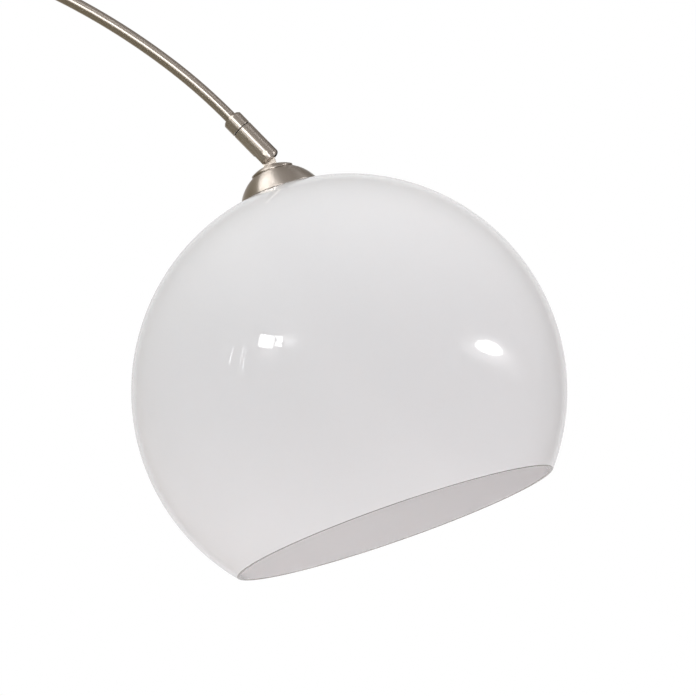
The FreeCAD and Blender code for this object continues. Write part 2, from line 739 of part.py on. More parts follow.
def grub_screw(name, angle, tube):
    """One socket screw, pointing in from the arc's inner side. Returns its cut solid."""
    start = tube + dim("ferrule_gap")
    length = dim("ferrule_wall") + dim("grub_proud")
    spot = arm_frame(angle)
    along = -dim("ferrule_grip") / 2
    shank = doc.addObject("Part::Cylinder", f"{name}_shank")
    shank.setExpression("Radius", dim("grub_radius").text)
    shank.setExpression("Height", length.text)
    socket = doc.addObject("Part::Prism", f"{name}_socket")
    socket.Polygon = 6
    socket.setExpression("Circumradius", dim("grub_socket_radius").text)
    socket.setExpression("Height", (dim("grub_socket_depth") + dim("cut_margin")).text)
    depths = {shank: start, socket: start + length - dim("grub_socket_depth")}
    for piece, out in depths.items():
        x = spot.x + out * cosine(angle) + along * sine(angle)
        z = spot.z - out * sine(angle) + along * cosine(angle)
        Frame(x, z, angle + 90).hold(piece)
    screw = doc.addObject("Part::Cut", name)
    screw.Base = shank
    screw.Tool = socket
    return screw


def arm_grub_screws():
    """The two identical screws that hold the ferrules, as one group."""
    group = doc.addObject("Part::Compound", "arm_grub_screws")
    group.Label = "arm_grub_screws"
    group.Links = [grub_screw("lower_grub_screw", dim("root_end_angle"), dim("root_tube_radius")),
                   grub_screw("upper_grub_screw", dim("mid_end_angle"), dim("mid_tube_radius"))]
    sub_parts.append(group)


# ---------------------------------------------------------------- knuckle

def collar_low():
    """The collar's lower end, up the arm from the tilt pivot."""
    return dim("knuckle_length") - dim("collar_length")


def joint_collar():
    """Fixed collar: the arm's threaded end enters its top, the swivel's screw its underside."""
    outer, low, high = dim("knuckle_radius"), collar_low(), dim("knuckle_length")
    ease, bend = dim("collar_chamfer"), dim("collar_round")
    socket = dim("tip_tube_radius") + dim("thread_gap")
    floor = high - dim("collar_socket_depth") - dim("collar_floor_gap")
    lower = dim("swivel_stud_radius") + dim("thread_gap")
    step = dim("seam_step")
    turned("joint_collar", [
        Corner(lower, low), Corner(outer - step, low), Corner(outer, low + step),
        Corner(outer, high - ease), Corner(outer - ease, high, -bend), Corner(socket, high),
        Corner(socket, floor), Corner(lower, floor)], knuckle_frame())


def seam_low():
    """The swivelling body's upper end, up the arm from the tilt pivot."""
    return collar_low() - dim("seam_height")


def swivel_screw():
    """Hollow shoulder screw in the collar that carries the swivelling body by its head."""
    stud, bore = dim("swivel_stud_radius"), dim("swivel_stud_bore_radius")
    head_top = dim("swivel_web_bottom") - dim("swivel_head_gap")
    head_low = head_top - dim("swivel_head_height")
    top = dim("knuckle_length") - dim("collar_socket_depth") - dim("swivel_screw_gap")
    head = dim("swivel_head_radius")
    turned("swivel_screw", [
        Corner(bore, head_low), Corner(head, head_low), Corner(head, head_top),
        Corner(stud, head_top), Corner(stud, top), Corner(bore, top)], knuckle_frame())


def swivel_washer():
    """Dark washer in the seam between the collar and the swivelling body."""
    bore = dim("swivel_stud_radius") + dim("swivel_fit_gap")
    turned("swivel_washer", tube_section(bore, dim("seam_radius"), seam_low(),
                                         collar_low() - dim("seam_gap")), knuckle_frame())


def swivel_body():
    """Swivelling body: a web on the shoulder screw, and a slot for the tongue, open to one side."""
    outer, top, end = dim("knuckle_radius"), seam_low(), -dim("knuckle_end")
    bend, margin = dim("knuckle_end_round"), dim("cut_margin")
    web, well = dim("swivel_web_bottom"), dim("swivel_well_bottom")
    bore = dim("swivel_stud_radius") + dim("swivel_fit_gap")
    passage = dim("knuckle_passage_radius")
    step = dim("seam_step")
    body = turned("swivel_body", [
        Corner(0, end), Corner(outer - bend, end), Corner(outer, end + bend, -bend),
        Corner(outer, top - step), Corner(outer - step, top), Corner(bore, top), Corner(bore, web),
        Corner(dim("swivel_well_radius"), web), Corner(dim("swivel_well_radius"), well),
        Corner(passage, well), Corner(passage, dim("slot_top") - margin),
        Corner(0, dim("slot_top") - margin)], knuckle_frame())
    slot = new_sketch(body, "tongue_slot_outline", "XZ_Plane")
    draw_outline(slot, rectangle(-outer - margin, end - margin, outer - dim("slot_wall"), dim("slot_top")))
    extrude(body, "tongue_slot", slot, dim("slot_width"), cut=True, symmetric=True)
    round_hole(body, "pin_hole", "XZ_Plane", dim("pin_radius"), outer * 2 + margin, symmetric=True)


def tilt_pin():
    """Flush pin that the tongue tilts on."""
    body = new_body("tilt_pin", knuckle_frame())
    sketch = new_sketch(body, "tilt_pin_circle", "XZ_Plane")
    draw_circle(sketch, dim("pin_radius"))
    extrude(body, "tilt_pin_pad", sketch, dim("pin_length"), symmetric=True)


def tilt_washers():
    """The two friction washers between the tongue and the slot's sides, as one group."""
    body = new_body("tilt_washers", knuckle_frame())
    near = dim("tongue_thickness") / 2 + dim("tilt_washer_gap")
    far = near + dim("tilt_washer_height")
    bore = dim("pin_radius") + dim("pin_fit_gap")
    rims = [rectangle(bore, near, dim("tilt_washer_radius"), far),
            rectangle(bore, -far, dim("tilt_washer_radius"), -near)]
    revolve(body, "tilt_washer_turning", rims, role="XY_Plane")


# ---------------------------------------------------------------- head

def tilt_tongue():
    """Flat tongue on a round foot, with the hollow threaded spigot that carries the head."""
    body = new_body("tilt_tongue", head_frame())
    foot, bore = dim("tongue_foot_height"), dim("spigot_bore_radius")
    revolve(body, "tongue_foot", [[
        Corner(bore, dim("spigot_foot_height")), Corner(dim("spigot_radius"), dim("spigot_foot_height")),
        Corner(dim("spigot_radius"), foot), Corner(dim("tongue_radius"), foot),
        Corner(dim("tongue_radius"), dim("tongue_shoulder_height")),
        Corner(0, dim("tongue_shoulder_height")), Corner(0, dim("spigot_bore_top")),
        Corner(bore, dim("spigot_bore_top"))]])
    plate = new_sketch(body, "tongue_outline", "XZ_Plane")
    half, low = dim("tongue_radius"), dim("tongue_foot_height")
    draw_outline(plate, [
        Corner(-half, low), Corner(half, low), Corner(half, dim("pivot_height")),
        Corner(0, dim("pivot_height") + half, -half), Corner(-half, dim("pivot_height"), -half)])
    extrude(body, "tongue_plate", plate, dim("tongue_thickness"), symmetric=True)
    round_hole(body, "tongue_pin_hole", "XZ_Plane", dim("pin_radius") + dim("pin_fit_gap"),
               dim("tongue_thickness") + dim("cut_margin"), y=dim("pivot_height"), symmetric=True)


def small_cap():
    """Shallow spun cap above the dome cap, with a small rolled lip."""
    outer, wall, flat = dim("small_cap_radius"), dim("small_cap_wall"), dim("small_cap_flat_radius")
    low, lip_top = dim("dome_top_height"), dim("dome_top_height") + dim("small_cap_lip")
    top, crown = dim("tongue_foot_height"), dim("small_cap_crown_radius")
    hole = dim("spigot_radius") + dim("cap_hole_gap")
    turned("small_cap", [
        Corner(outer - wall, low), Corner(outer, low), Corner(outer, lip_top), Corner(flat, top, -crown),
        Corner(hole, top), Corner(hole, top - wall), Corner(flat, top - wall),
        Corner(outer - wall, lip_top - wall / 2, crown - wall)], head_frame())


def dome_cap():
    """Spun dome cap that covers the shade's neck."""
    radius, centre, wall = dim("dome_radius"), dim("dome_centre_height"), dim("dome_wall")
    rim, top = dim("dome_rim_height"), dim("dome_top_height")
    hole = dim("spigot_radius") + dim("cap_hole_gap")
    inner = radius - wall
    turned("dome_cap", [
        Corner(leg(inner, rim - centre), rim, inner), Corner(leg(radius, rim - centre), rim),
        Corner(leg(radius, top - centre), top, -radius), Corner(hole, top), Corner(hole, top - wall),
        Corner(leg(inner, top - wall - centre), top - wall)], head_frame())


def coupler():
    """Hexagon coupler under the dome cap that joins the spigot to the hollow nipple."""
    low = dim("coupler_foot_height")
    hex_nut("thread_coupler", dim("nut_across"), dim("spigot_radius") + dim("thread_gap"), low,
            dim("dome_top_height") - dim("dome_wall") - low, head_frame())


def lower_plate_top():
    """Height of the lower plate's top face in the head frame."""
    return dim("gasket_top_height") - dim("gasket_height")


def shade_clamp():
    """Plates, gasket and lock nut that hold the shade by its neck hole."""
    hole = dim("spigot_radius") + dim("cap_hole_gap")
    high = dim("coupler_foot_height")
    turned("shade_upper_plate", tube_section(hole, dim("upper_plate_radius"),
                                             high - dim("upper_plate_height"), high), head_frame())
    plate_top = lower_plate_top()
    plate_low = plate_top - dim("lower_plate_height")
    turned("shade_gasket", tube_section(dim("ball_hole_radius") + dim("gasket_gap"), dim("gasket_radius"),
                                        plate_top, dim("gasket_top_height")), head_frame())
    turned("shade_lower_plate", tube_section(hole, dim("lower_plate_radius"), plate_low, plate_top),
           head_frame())
    height = dim("lock_nut_height")
    hex_nut("shade_lock_nut", dim("nut_across"), dim("spigot_radius") + dim("thread_gap"),
            plate_low - height, height, head_frame())


def hollow_nipple():
    """Hollow threaded nipple from the coupler down to the lamp holder."""
    turned("hollow_nipple", tube_section(dim("nipple_bore_radius"), dim("spigot_radius"),
                                         dim("nipple_foot_height"), dim("nipple_top_height")), head_frame())


def shade():
    """Opal ball, cut flat at the mouth and bored at the neck."""
    outer, inner = dim("ball_radius"), dim("ball_radius") - dim("ball_wall")
    hole, cut = dim("ball_hole_radius"), -dim("ball_cut_height")
    turned("shade", [
        Corner(hole, leg(inner, hole), -inner), Corner(hole, leg(outer, hole)),
        Corner(outer, 0, outer), Corner(leg(outer, cut), cut, outer),
        Corner(leg(inner, cut), cut), Corner(inner, 0, -inner)], head_frame())


def holder():
    """Lamp holder: cap, body, insert with its spring contact, and the brass screw shell."""
    outer, wall, neck = dim("holder_radius"), dim("holder_wall"), dim("holder_neck_radius")
    top, seam, foot = dim("holder_top_height"), dim("holder_seam_height"), dim("holder_foot_height")
    bore = dim("spigot_radius") + dim("thread_gap")
    floor, skirt = top - dim("holder_cap_floor"), seam + dim("holder_skirt")
    crown = dim("holder_crown_radius")
    turned("holder_cap", [
        Corner(outer - wall, seam), Corner(outer, seam), Corner(outer, skirt), Corner(neck, top, -crown),
        Corner(bore, top), Corner(bore, floor), Corner(neck - wall, floor),
        Corner(outer - wall, skirt, crown - wall)], head_frame())
    lap = outer - wall - dim("holder_lap_gap")
    turned("holder_body", [
        Corner(lap - wall, foot), Corner(outer, foot), Corner(outer, seam), Corner(lap, seam),
        Corner(lap, seam + dim("holder_lap")), Corner(lap - wall, seam + dim("holder_lap"))], head_frame())
    low, high = dim("insert_foot_height"), dim("insert_top_height")
    radius = lap - wall - dim("holder_lap_gap")
    spring = dim("contact_spring_radius")
    turned("holder_insert", rectangle(0, low, radius, high), head_frame())
    shell = dim("screw_shell_radius")
    turned("holder_screw_shell", tube_section(shell - dim("screw_shell_wall"), shell,
                                              foot + dim("screw_shell_foot_gap"), low), head_frame())
    drop = dim("contact_spring_height")
    turned("holder_contact", [
        Corner(0, low - drop), Corner(spring, low - drop / 2), Corner(spring, low), Corner(0, low)],
        head_frame())


def head_lead():
    """Internal lead from the tongue's bore down the nipple to the lamp holder."""
    turned("head_lead", rectangle(0, dim("insert_top_height"), dim("lead_radius"), dim("head_lead_top")),
           head_frame())


def bulb():
    """Bulb: brass base, glass insulator with the foot contact, and the opal glass."""
    outer, wall = dim("bulb_base_radius"), dim("bulb_base_wall")
    low, high, top = dim("bulb_base_foot"), dim("bulb_base_top"), dim("bulb_top_height")
    disc, shoulder = dim("bulb_insulator_radius"), high + dim("bulb_shoulder_height")
    hole = disc + dim("bulb_insulator_gap")
    turned("bulb_base", [
        Corner(outer - wall, low), Corner(outer, low), Corner(outer, high), Corner(hole, shoulder),
        Corner(hole, shoulder - wall), Corner(outer - wall, high - wall)], head_frame())
    turned("bulb_contact", [
        Corner(0, high), Corner(disc, high), Corner(disc, shoulder),
        Corner(dim("bulb_contact_radius"), top - dim("bulb_contact_rise")), Corner(0, top)], head_frame())
    glass(dim("bulb_radius"), dim("bulb_wall"))


def glass(radius, wall):
    """Bulb glass: a ball that blends into a narrow neck by a hollow curve."""
    centre, neck, neck_top = dim("bulb_centre_height"), dim("bulb_neck_radius"), dim("bulb_neck_height")
    blend = dim("bulb_neck_blend")
    far = root((radius + blend) ** 2 - (neck + blend) ** 2)
    share = radius / (radius + blend)
    inner_share = (radius - wall) / (radius + blend)
    turned("bulb_glass", [
        Corner(neck - wall, centre + far, blend + wall), Corner(neck - wall, neck_top),
        Corner(neck, neck_top), Corner(neck, centre + far),
        Corner((neck + blend) * share, centre + far * share, -blend), Corner(radius, centre, radius),
        Corner(0, centre - radius, radius), Corner(0, centre - radius + wall),
        Corner(radius - wall, centre, wall - radius),
        Corner((neck + blend) * inner_share, centre + far * inner_share, wall - radius)], head_frame())


# ---------------------------------------------------------------- build, check, write

def build():
    """Make every sub-part, from the floor up."""
    for make in (base_pad, base_weight, base_cover, cord_gland, base_stud, base_fasteners, foot_ring,
                 column, column_lead, top_sleeve, top_bush, clamp_screw, clamp_knob, arm_foot_bush,
                 arm_tubes, arm_lead, arm_ferrules, arm_grub_screws, joint_collar, swivel_screw,
                 swivel_washer, swivel_body, tilt_pin, tilt_washers, tilt_tongue, small_cap, dome_cap,
                 coupler, shade_clamp, hollow_nipple, shade, holder, head_lead, bulb):
        make()
    doc.recompute()


def check():
    """Stop if any object failed, or any sub-part's shape is missing or not valid."""
    for thing in doc.Objects:
        if "Invalid" in thing.State or "Error" in thing.State:
            raise RuntimeError(f"{thing.Label} failed: {thing.State}")
    for piece in sub_parts:
        if piece.Shape.isNull() or not piece.Shape.isValid() or not piece.Shape.Solids:
            raise RuntimeError(f"{piece.Label} has no valid solid")


def write():
    """Write one file for each sub-part."""
    os.makedirs("parts", exist_ok=True)
    for piece in sub_parts:
        piece.Shape.exportStep(f"parts/{piece.Label}.step")
        print(f"{piece.Label}: {len(piece.Shape.Solids)} solid(s), {piece.Shape.Volume:.1f} mm3")


fill_sheet()
build()
check()
write()
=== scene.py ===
"""Looks of the arc floor lamp, built as surfaces around its fixed mechanical frame."""

import json
import logging
import math
from abc import ABC, abstractmethod
from dataclasses import dataclass, field
from enum import Enum
from typing import Callable, Optional, Sequence

import bmesh
import bpy
import numpy as np
from mathutils import Matrix, Vector


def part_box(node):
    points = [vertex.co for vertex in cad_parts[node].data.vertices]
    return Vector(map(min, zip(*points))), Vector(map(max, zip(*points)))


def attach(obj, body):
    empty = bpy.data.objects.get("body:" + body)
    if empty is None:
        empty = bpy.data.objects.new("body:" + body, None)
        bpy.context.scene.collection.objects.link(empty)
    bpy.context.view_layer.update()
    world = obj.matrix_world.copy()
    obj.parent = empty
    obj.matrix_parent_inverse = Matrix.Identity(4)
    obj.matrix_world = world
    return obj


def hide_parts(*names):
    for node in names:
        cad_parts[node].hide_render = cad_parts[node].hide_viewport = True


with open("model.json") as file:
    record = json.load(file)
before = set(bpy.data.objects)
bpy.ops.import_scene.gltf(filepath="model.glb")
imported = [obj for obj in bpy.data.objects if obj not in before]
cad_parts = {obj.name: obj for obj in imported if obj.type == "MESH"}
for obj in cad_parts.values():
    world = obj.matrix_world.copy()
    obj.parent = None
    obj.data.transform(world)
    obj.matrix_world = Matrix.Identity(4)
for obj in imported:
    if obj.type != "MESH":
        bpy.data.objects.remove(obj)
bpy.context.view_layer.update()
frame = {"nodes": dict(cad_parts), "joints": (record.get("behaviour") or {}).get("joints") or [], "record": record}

LOG = logging.getLogger("arc_floor_lamp")
MM = 0.001
TURN = 2.0 * math.pi
Y_AXIS = np.array([0.0, 1.0, 0.0])
Colour = tuple[float, float, float]


# ---------------------------------------------------------------- places taken from the frame

def joint_named(name: str) -> dict:
    """Find one of the frame's joints.

    Args:
        name: the joint's name.

    Returns:
        The joint's own record, with its axis and, on a hinge, its position.
    """
    return next(joint for joint in frame["joints"] if joint["name"] == name)


def unit(vector: np.ndarray) -> np.ndarray:
    """Scale vectors to length one.

    Args:
        vector: one vector, or an array with a vector in each row.

    Returns:
        The same directions with length one.
    """
    return vector / np.linalg.norm(vector, axis=-1, keepdims=True)


@dataclass(frozen=True)
class Axis:
    """A straight centre line in the plane of the arm, with s measured along it from its origin."""

    origin: np.ndarray
    along: np.ndarray

    @property
    def across(self) -> np.ndarray:
        """The direction square to the line, in the plane of the arm."""
        return np.cross(Y_AXIS, self.along)

    def at(self, s: np.ndarray) -> tuple[np.ndarray, np.ndarray, np.ndarray]:
        """Place stations on the line.

        Args:
            s: distances along the line, in metres.

        Returns:
            The stations' centres, and two directions square to the line at each.
        """
        centres = self.origin + s[:, None] * self.along
        shape = centres.shape
        return centres, np.broadcast_to(self.across, shape), np.broadcast_to(Y_AXIS, shape)

    def local(self, points: np.ndarray) -> np.ndarray:
        """Turn points of the lamp's frame into (across, sideways, along) of this line."""
        offset = points - self.origin
        return np.stack([offset @ self.across, offset @ Y_AXIS, offset @ self.along], axis=-1)


@dataclass(frozen=True)
class ArmLine:
    """The arm's centre line: a vertical leg, a wide arc, a tighter arc at the tip, a straight end.

    s is measured from where the wide arc leaves the leg, so the leg has s below zero.
    """

    spring_height: float
    main_radius: float = 590 * MM
    tip_radius: float = 470 * MM
    main_angle: float = math.radians(128)
    whole_angle: float = math.radians(136)

    def station(self, angle: float) -> float:
        """The distance s at an angle on the wide arc."""
        return self.main_radius * angle

    @property
    def main_length(self) -> float:
        """Length of the wide arc."""
        return self.station(self.main_angle)

    @property
    def length(self) -> float:
        """Length of both arcs together."""
        return self.main_length + self.tip_radius * (self.whole_angle - self.main_angle)

    def at(self, s: np.ndarray) -> tuple[np.ndarray, np.ndarray, np.ndarray]:
        """Place stations on the line.

        A point on an arc of radius r about (a, c) is (a - r cos t, c + r sin t), where t is the
        angle that the line has turned from the vertical.

        Args:
            s: distances along the line, in metres.

        Returns:
            The stations' centres, and two directions square to the line at each.
        """
        on_main = np.clip(s, 0, self.main_length)
        on_tip = np.clip(s - self.main_length, 0, self.length - self.main_length)
        angle = on_main / self.main_radius + on_tip / self.tip_radius
        x = self.main_radius * (1 - np.cos(on_main / self.main_radius))
        z = self.main_radius * np.sin(on_main / self.main_radius)
        past = on_tip > 0
        x = x + past * self.tip_radius * (math.cos(self.main_angle) - np.cos(angle))
        z = z + past * self.tip_radius * (np.sin(angle) - math.sin(self.main_angle))
        straight = np.minimum(s, 0) + np.maximum(s - self.length, 0)
        x = x + straight * np.sin(angle)
        z = z + straight * np.cos(angle) + self.spring_height
        centres = np.stack([x, np.zeros_like(x), z], axis=-1)
        outward = np.stack([-np.cos(angle), np.zeros_like(x), np.sin(angle)], axis=-1)
        return centres, outward, np.broadcast_to(-Y_AXIS, centres.shape)


def ball_place() -> tuple[np.ndarray, float]:
    """Work out the shade's ball from its box: its left, top and side extremes all lie on the ball.

    Returns:
        The ball's centre and its radius.
    """
    low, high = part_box("shade")
    radius = (high.y - low.y) / 2
    return np.array([low.x + radius, (low.y + high.y) / 2, high.z - radius]), radius


PIVOT = np.array(joint_named("head_tilt")["pos_m"], float)
BALL_CENTRE, BALL_RADIUS = ball_place()
HEAD = Axis(BALL_CENTRE, unit(PIVOT - BALL_CENTRE))
KNUCKLE = Axis(PIVOT, unit(np.array(joint_named("head_swivel")["axis"], float)))
COLUMN = Axis(np.zeros(3), np.array([0.0, 0.0, 1.0]))
CLAMP = Axis(np.array([0.0, 0.0, joint_named("clamp_turn")["pos_m"][2]]),
             unit(np.array(joint_named("clamp_turn")["axis"], float)))
LEG_LENGTH = 330 * MM
ARM = ArmLine(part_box("arm_root_tube")[0].z + LEG_LENGTH)
Line = Axis | ArmLine


# ---------------------------------------------------------------- sections

SAME_POINT = 1e-7  # metres; closer points are one
NO_LENGTH = 1e-8  # metres; a shorter edge is dissolved
ROUNDING_SHARE = 0.4  # the most of a side that a rounding takes
BESIDE_CUT = 1.8  # the added point's distance from its corner, in cuts
BESIDE_SHARE = 0.49  # the most of a side that the added point's distance takes
NEARLY_STRAIGHT = 1.5  # radians; half the angle of a corner too flat to round


class Section:
    """A closed outline of (s, r): s along the centre line, r out from it, both in metres.

    Corners are rounded by a small parabola, and each straight run has a point close to both of its
    ends, so that smooth shading stays flat where the surface is flat.
    """

    def __init__(self, ease: float = 0.25 * MM, steps: int = 3) -> None:
        """Start an empty outline.

        Args:
            ease: radius of the rounding at a corner that states none.
            steps: how many chords each rounding has.
        """
        self.ease = ease
        self.steps = steps
        self.corners: list[tuple[float, float, float]] = []

    def to(self, s: float, r: float, ease: Optional[float] = None) -> "Section":
        """Add a corner.

        Args:
            s: place along the centre line, in metres.
            r: distance from the centre line, in metres.
            ease: rounding radius, or None for the outline's own.

        Returns:
            The outline itself, so that calls can be chained.
        """
        self.corners.append((s, r, self.ease if ease is None else ease))
        return self

    def bow(self, centre: float, radius: float, start: float, end: float, count: int,
            middle: float = 0.0) -> "Section":
        """Add points of a circular arc: s = centre + radius cos a, r = middle + radius sin a.

        Args:
            centre: s of the arc's centre.
            radius: the arc's radius.
            start: first angle, in radians, measured from the line's own direction.
            end: last angle.
            count: how many points.
            middle: r of the arc's centre.

        Returns:
            The outline itself.
        """
        for angle in np.linspace(start, end, count):
            self.corners.append((centre + radius * math.cos(angle), middle + radius * math.sin(angle), 0.0))
        return self

    def points(self) -> np.ndarray:
        """Round the corners and add the points beside them.

        Returns:
            An array of (s, r) rows, closed from the last row to the first.
        """
        out: list[np.ndarray] = []
        count = len(self.corners)
        for i, (s, r, ease) in enumerate(self.corners):
            here = np.array([s, r])
            before = np.array(self.corners[i - 1][:2]) - here
            after = np.array(self.corners[(i + 1) % count][:2]) - here
            reach_before, reach_after = np.linalg.norm(before), np.linalg.norm(after)
            if ease <= 0 or r <= 0 or min(reach_before, reach_after) < SAME_POINT:
                out.append(here)
                continue
            before, after = before / reach_before, after / reach_after
            half = math.acos(float(np.clip(before @ after, -1, 1))) / 2
            if half >= NEARLY_STRAIGHT:
                out.append(here)
                continue
            cut = min(ease / math.tan(half), ROUNDING_SHARE * reach_before, ROUNDING_SHARE * reach_after)
            start, end = here + before * cut, here + after * cut
            out.append(here + before * min(cut * BESIDE_CUT, BESIDE_SHARE * reach_before))
            for t in np.linspace(0, 1, self.steps + 1):
                out.append((1 - t) ** 2 * start + 2 * t * (1 - t) * here + t ** 2 * end)
            out.append(here + after * min(cut * BESIDE_CUT, BESIDE_SHARE * reach_after))
        return np.array(out)


def subdivided(points: np.ndarray, longest: float) -> np.ndarray:
    """Divide an outline's long sides evenly.

    Args:
        points: (s, r) rows, closed from the last to the first.
        longest: the longest side allowed, in metres.

    Returns:
        The outline with the added rows.
    """
    following = np.roll(points, -1, axis=0)
    pieces = []
    for here, there in zip(points, following):
        count = max(1, math.ceil(float(np.linalg.norm(there - here)) / longest))
        pieces.append(here + (there - here) * (np.arange(count) / count)[:, None])
    return np.concatenate(pieces)


# ---------------------------------------------------------------- meshes

Ripple = Callable[[np.ndarray, np.ndarray, np.ndarray], np.ndarray]


def mesh_from_grid(name: str, grid: np.ndarray, uv: np.ndarray) -> bpy.types.Object:
    """Make a closed mesh from a grid of points that wraps both ways.

    Args:
        name: the piece's name.
        grid: points, shaped (outline, around, 3).
        uv: texture places of the grid's corners, shaped (outline + 1, around + 1, 2).

    Returns:
        The new piece, smooth shaded, at the origin, with its poles merged and faces outwards.
    """
    rows, columns = grid.shape[:2]
    i, j = np.meshgrid(np.arange(rows), np.arange(columns), indexing="ij")
    i, j = i.ravel(), j.ravel()
    i_next, j_next = (i + 1) % rows, (j + 1) % columns
    here, there = i * columns, i_next * columns
    faces = np.stack([here + j, there + j, there + j_next, here + j_next], 1)
    corners = np.stack([uv[i, j], uv[i + 1, j], uv[i + 1, j + 1], uv[i, j + 1]], 1)
    mesh = bpy.data.meshes.new(name)
    mesh.vertices.add(rows * columns)
    mesh.vertices.foreach_set("co", grid.reshape(-1).astype(np.float32))
    mesh.loops.add(faces.size)
    mesh.loops.foreach_set("vertex_index", faces.ravel().astype(np.int32))
    mesh.polygons.add(len(faces))
    mesh.polygons.foreach_set("loop_start", np.arange(0, faces.size, 4, dtype=np.int32))
    mesh.update(calc_edges=True)
    layer = mesh.uv_layers.new(name="UVMap")
    layer.data.foreach_set("uv", corners.reshape(-1).astype(np.float32))
    close_up(mesh)
    mesh.validate()
    piece = bpy.data.objects.new(name, mesh)
    bpy.context.scene.collection.objects.link(piece)
    return piece


def close_up(mesh: bpy.types.Mesh) -> None:
    """Merge doubled points, face everything outwards and shade it smooth.

    Args:
        mesh: the mesh to finish, changed in place.
    """
    work = bmesh.new()
    work.from_mesh(mesh)
    bmesh.ops.remove_doubles(work, verts=work.verts, dist=SAME_POINT)
    bmesh.ops.dissolve_degenerate(work, edges=work.edges, dist=NO_LENGTH)
    bmesh.ops.recalc_face_normals(work, faces=work.faces)
    if work.calc_volume(signed=True) < 0:
        bmesh.ops.reverse_faces(work, faces=work.faces)
    work.to_mesh(mesh)
    work.free()
    mesh.shade_smooth()


def carried(name: str, outline: np.ndarray, line: Line, around: int, longest: float,
            ripple: Optional[Ripple]) -> bpy.types.Object:
    """Carry a closed outline round a centre line.

    The surface is P(s, a) = C(s) + r (cos a N(s) + sin a B(s)), where C is the centre line, N and
    B are square to it, and (s, r) runs round the outline. A ripple may change r with s and a.

    Args:
        name: the piece's name.
        outline: (s, r) rows, closed from the last to the first.
        line: the centre line.
        around: how many steps one turn has.
        longest: the longest step along the outline, in metres.
        ripple: a function of s, r and the angle that gives the new r, or None.

    Returns:
        The new piece. Its UV map holds turns round the line and metres along the outline.
    """
    rows = subdivided(outline, longest)
    angle = np.arange(around) * (TURN / around)
    s, r = rows[:, 0][:, None], rows[:, 1][:, None]
    centres, normal, binormal = line.at(rows[:, 0])
    radius = np.broadcast_to(r, (len(rows), around))
    if ripple is not None:
        radius = ripple(np.broadcast_to(s, radius.shape), radius, np.broadcast_to(angle, radius.shape))
    outwards = (np.cos(angle)[None, :, None] * normal[:, None]
                + np.sin(angle)[None, :, None] * binormal[:, None])
    grid = centres[:, None] + radius[..., None] * outwards
    steps = np.linalg.norm(np.roll(rows, -1, axis=0) - rows, axis=1)
    run = np.concatenate([[0.0], np.cumsum(steps)])
    turns = np.arange(around + 1) / around
    uv = np.stack(np.broadcast_arrays(turns[None, :], run[:, None]), axis=-1)
    return mesh_from_grid(name, grid, uv)


EDGE_ANGLE = math.radians(32)
EDGE_STEPS = 3


def softened_copy(name: str, node: str, axis: Axis, bevel: float) -> bpy.types.Object:
    """Copy a machined node, merge its points, ease its edges and give it turned texture places.

    Args:
        name: the new piece's name.
        node: the node to copy.
        axis: the centre line that the grain runs round.
        bevel: width of the eased edges, in metres.

    Returns:
        The new piece, which stands for the node.
    """
    mesh = frame["nodes"][node].data.copy()
    mesh.name = name
    for attribute in [layer for layer in mesh.attributes if layer.name == "custom_normal"]:
        mesh.attributes.remove(attribute)
    close_up(mesh)
    mesh.set_sharp_from_angle(angle=EDGE_ANGLE)
    points = np.empty(len(mesh.vertices) * 3)
    mesh.vertices.foreach_get("co", points)
    place = axis.local(points.reshape(-1, 3))
    corner = np.empty(len(mesh.loops), int)
    mesh.loops.foreach_get("vertex_index", corner)
    turns = (np.arctan2(place[:, 1], place[:, 0]) / TURN)[corner].reshape(-1, 3)
    turns += (turns.max(axis=1, keepdims=True) - turns) > 0.5
    run = place[:, 2] + np.hypot(place[:, 0], place[:, 1])
    uv = np.stack([turns.ravel(), run[corner]], axis=-1)
    for layer in list(mesh.uv_layers):
        mesh.uv_layers.remove(layer)
    mesh.uv_layers.new(name="UVMap").data.foreach_set("uv", uv.reshape(-1).astype(np.float32))
    mesh.materials.clear()
    piece = bpy.data.objects.new(name, mesh)
    bpy.context.scene.collection.objects.link(piece)
    edge = piece.modifiers.new("eased edges", "BEVEL")
    edge.width = bevel
    edge.segments = EDGE_STEPS
    edge.limit_method = "ANGLE"
    edge.angle_limit = EDGE_ANGLE
    edge.harden_normals = True
    return piece


# ---------------------------------------------------------------- shader building

MIX_COLOURS = slice(6, 8)  # a Mix node's two colour inputs
MIX_RESULT = 2  # its colour output


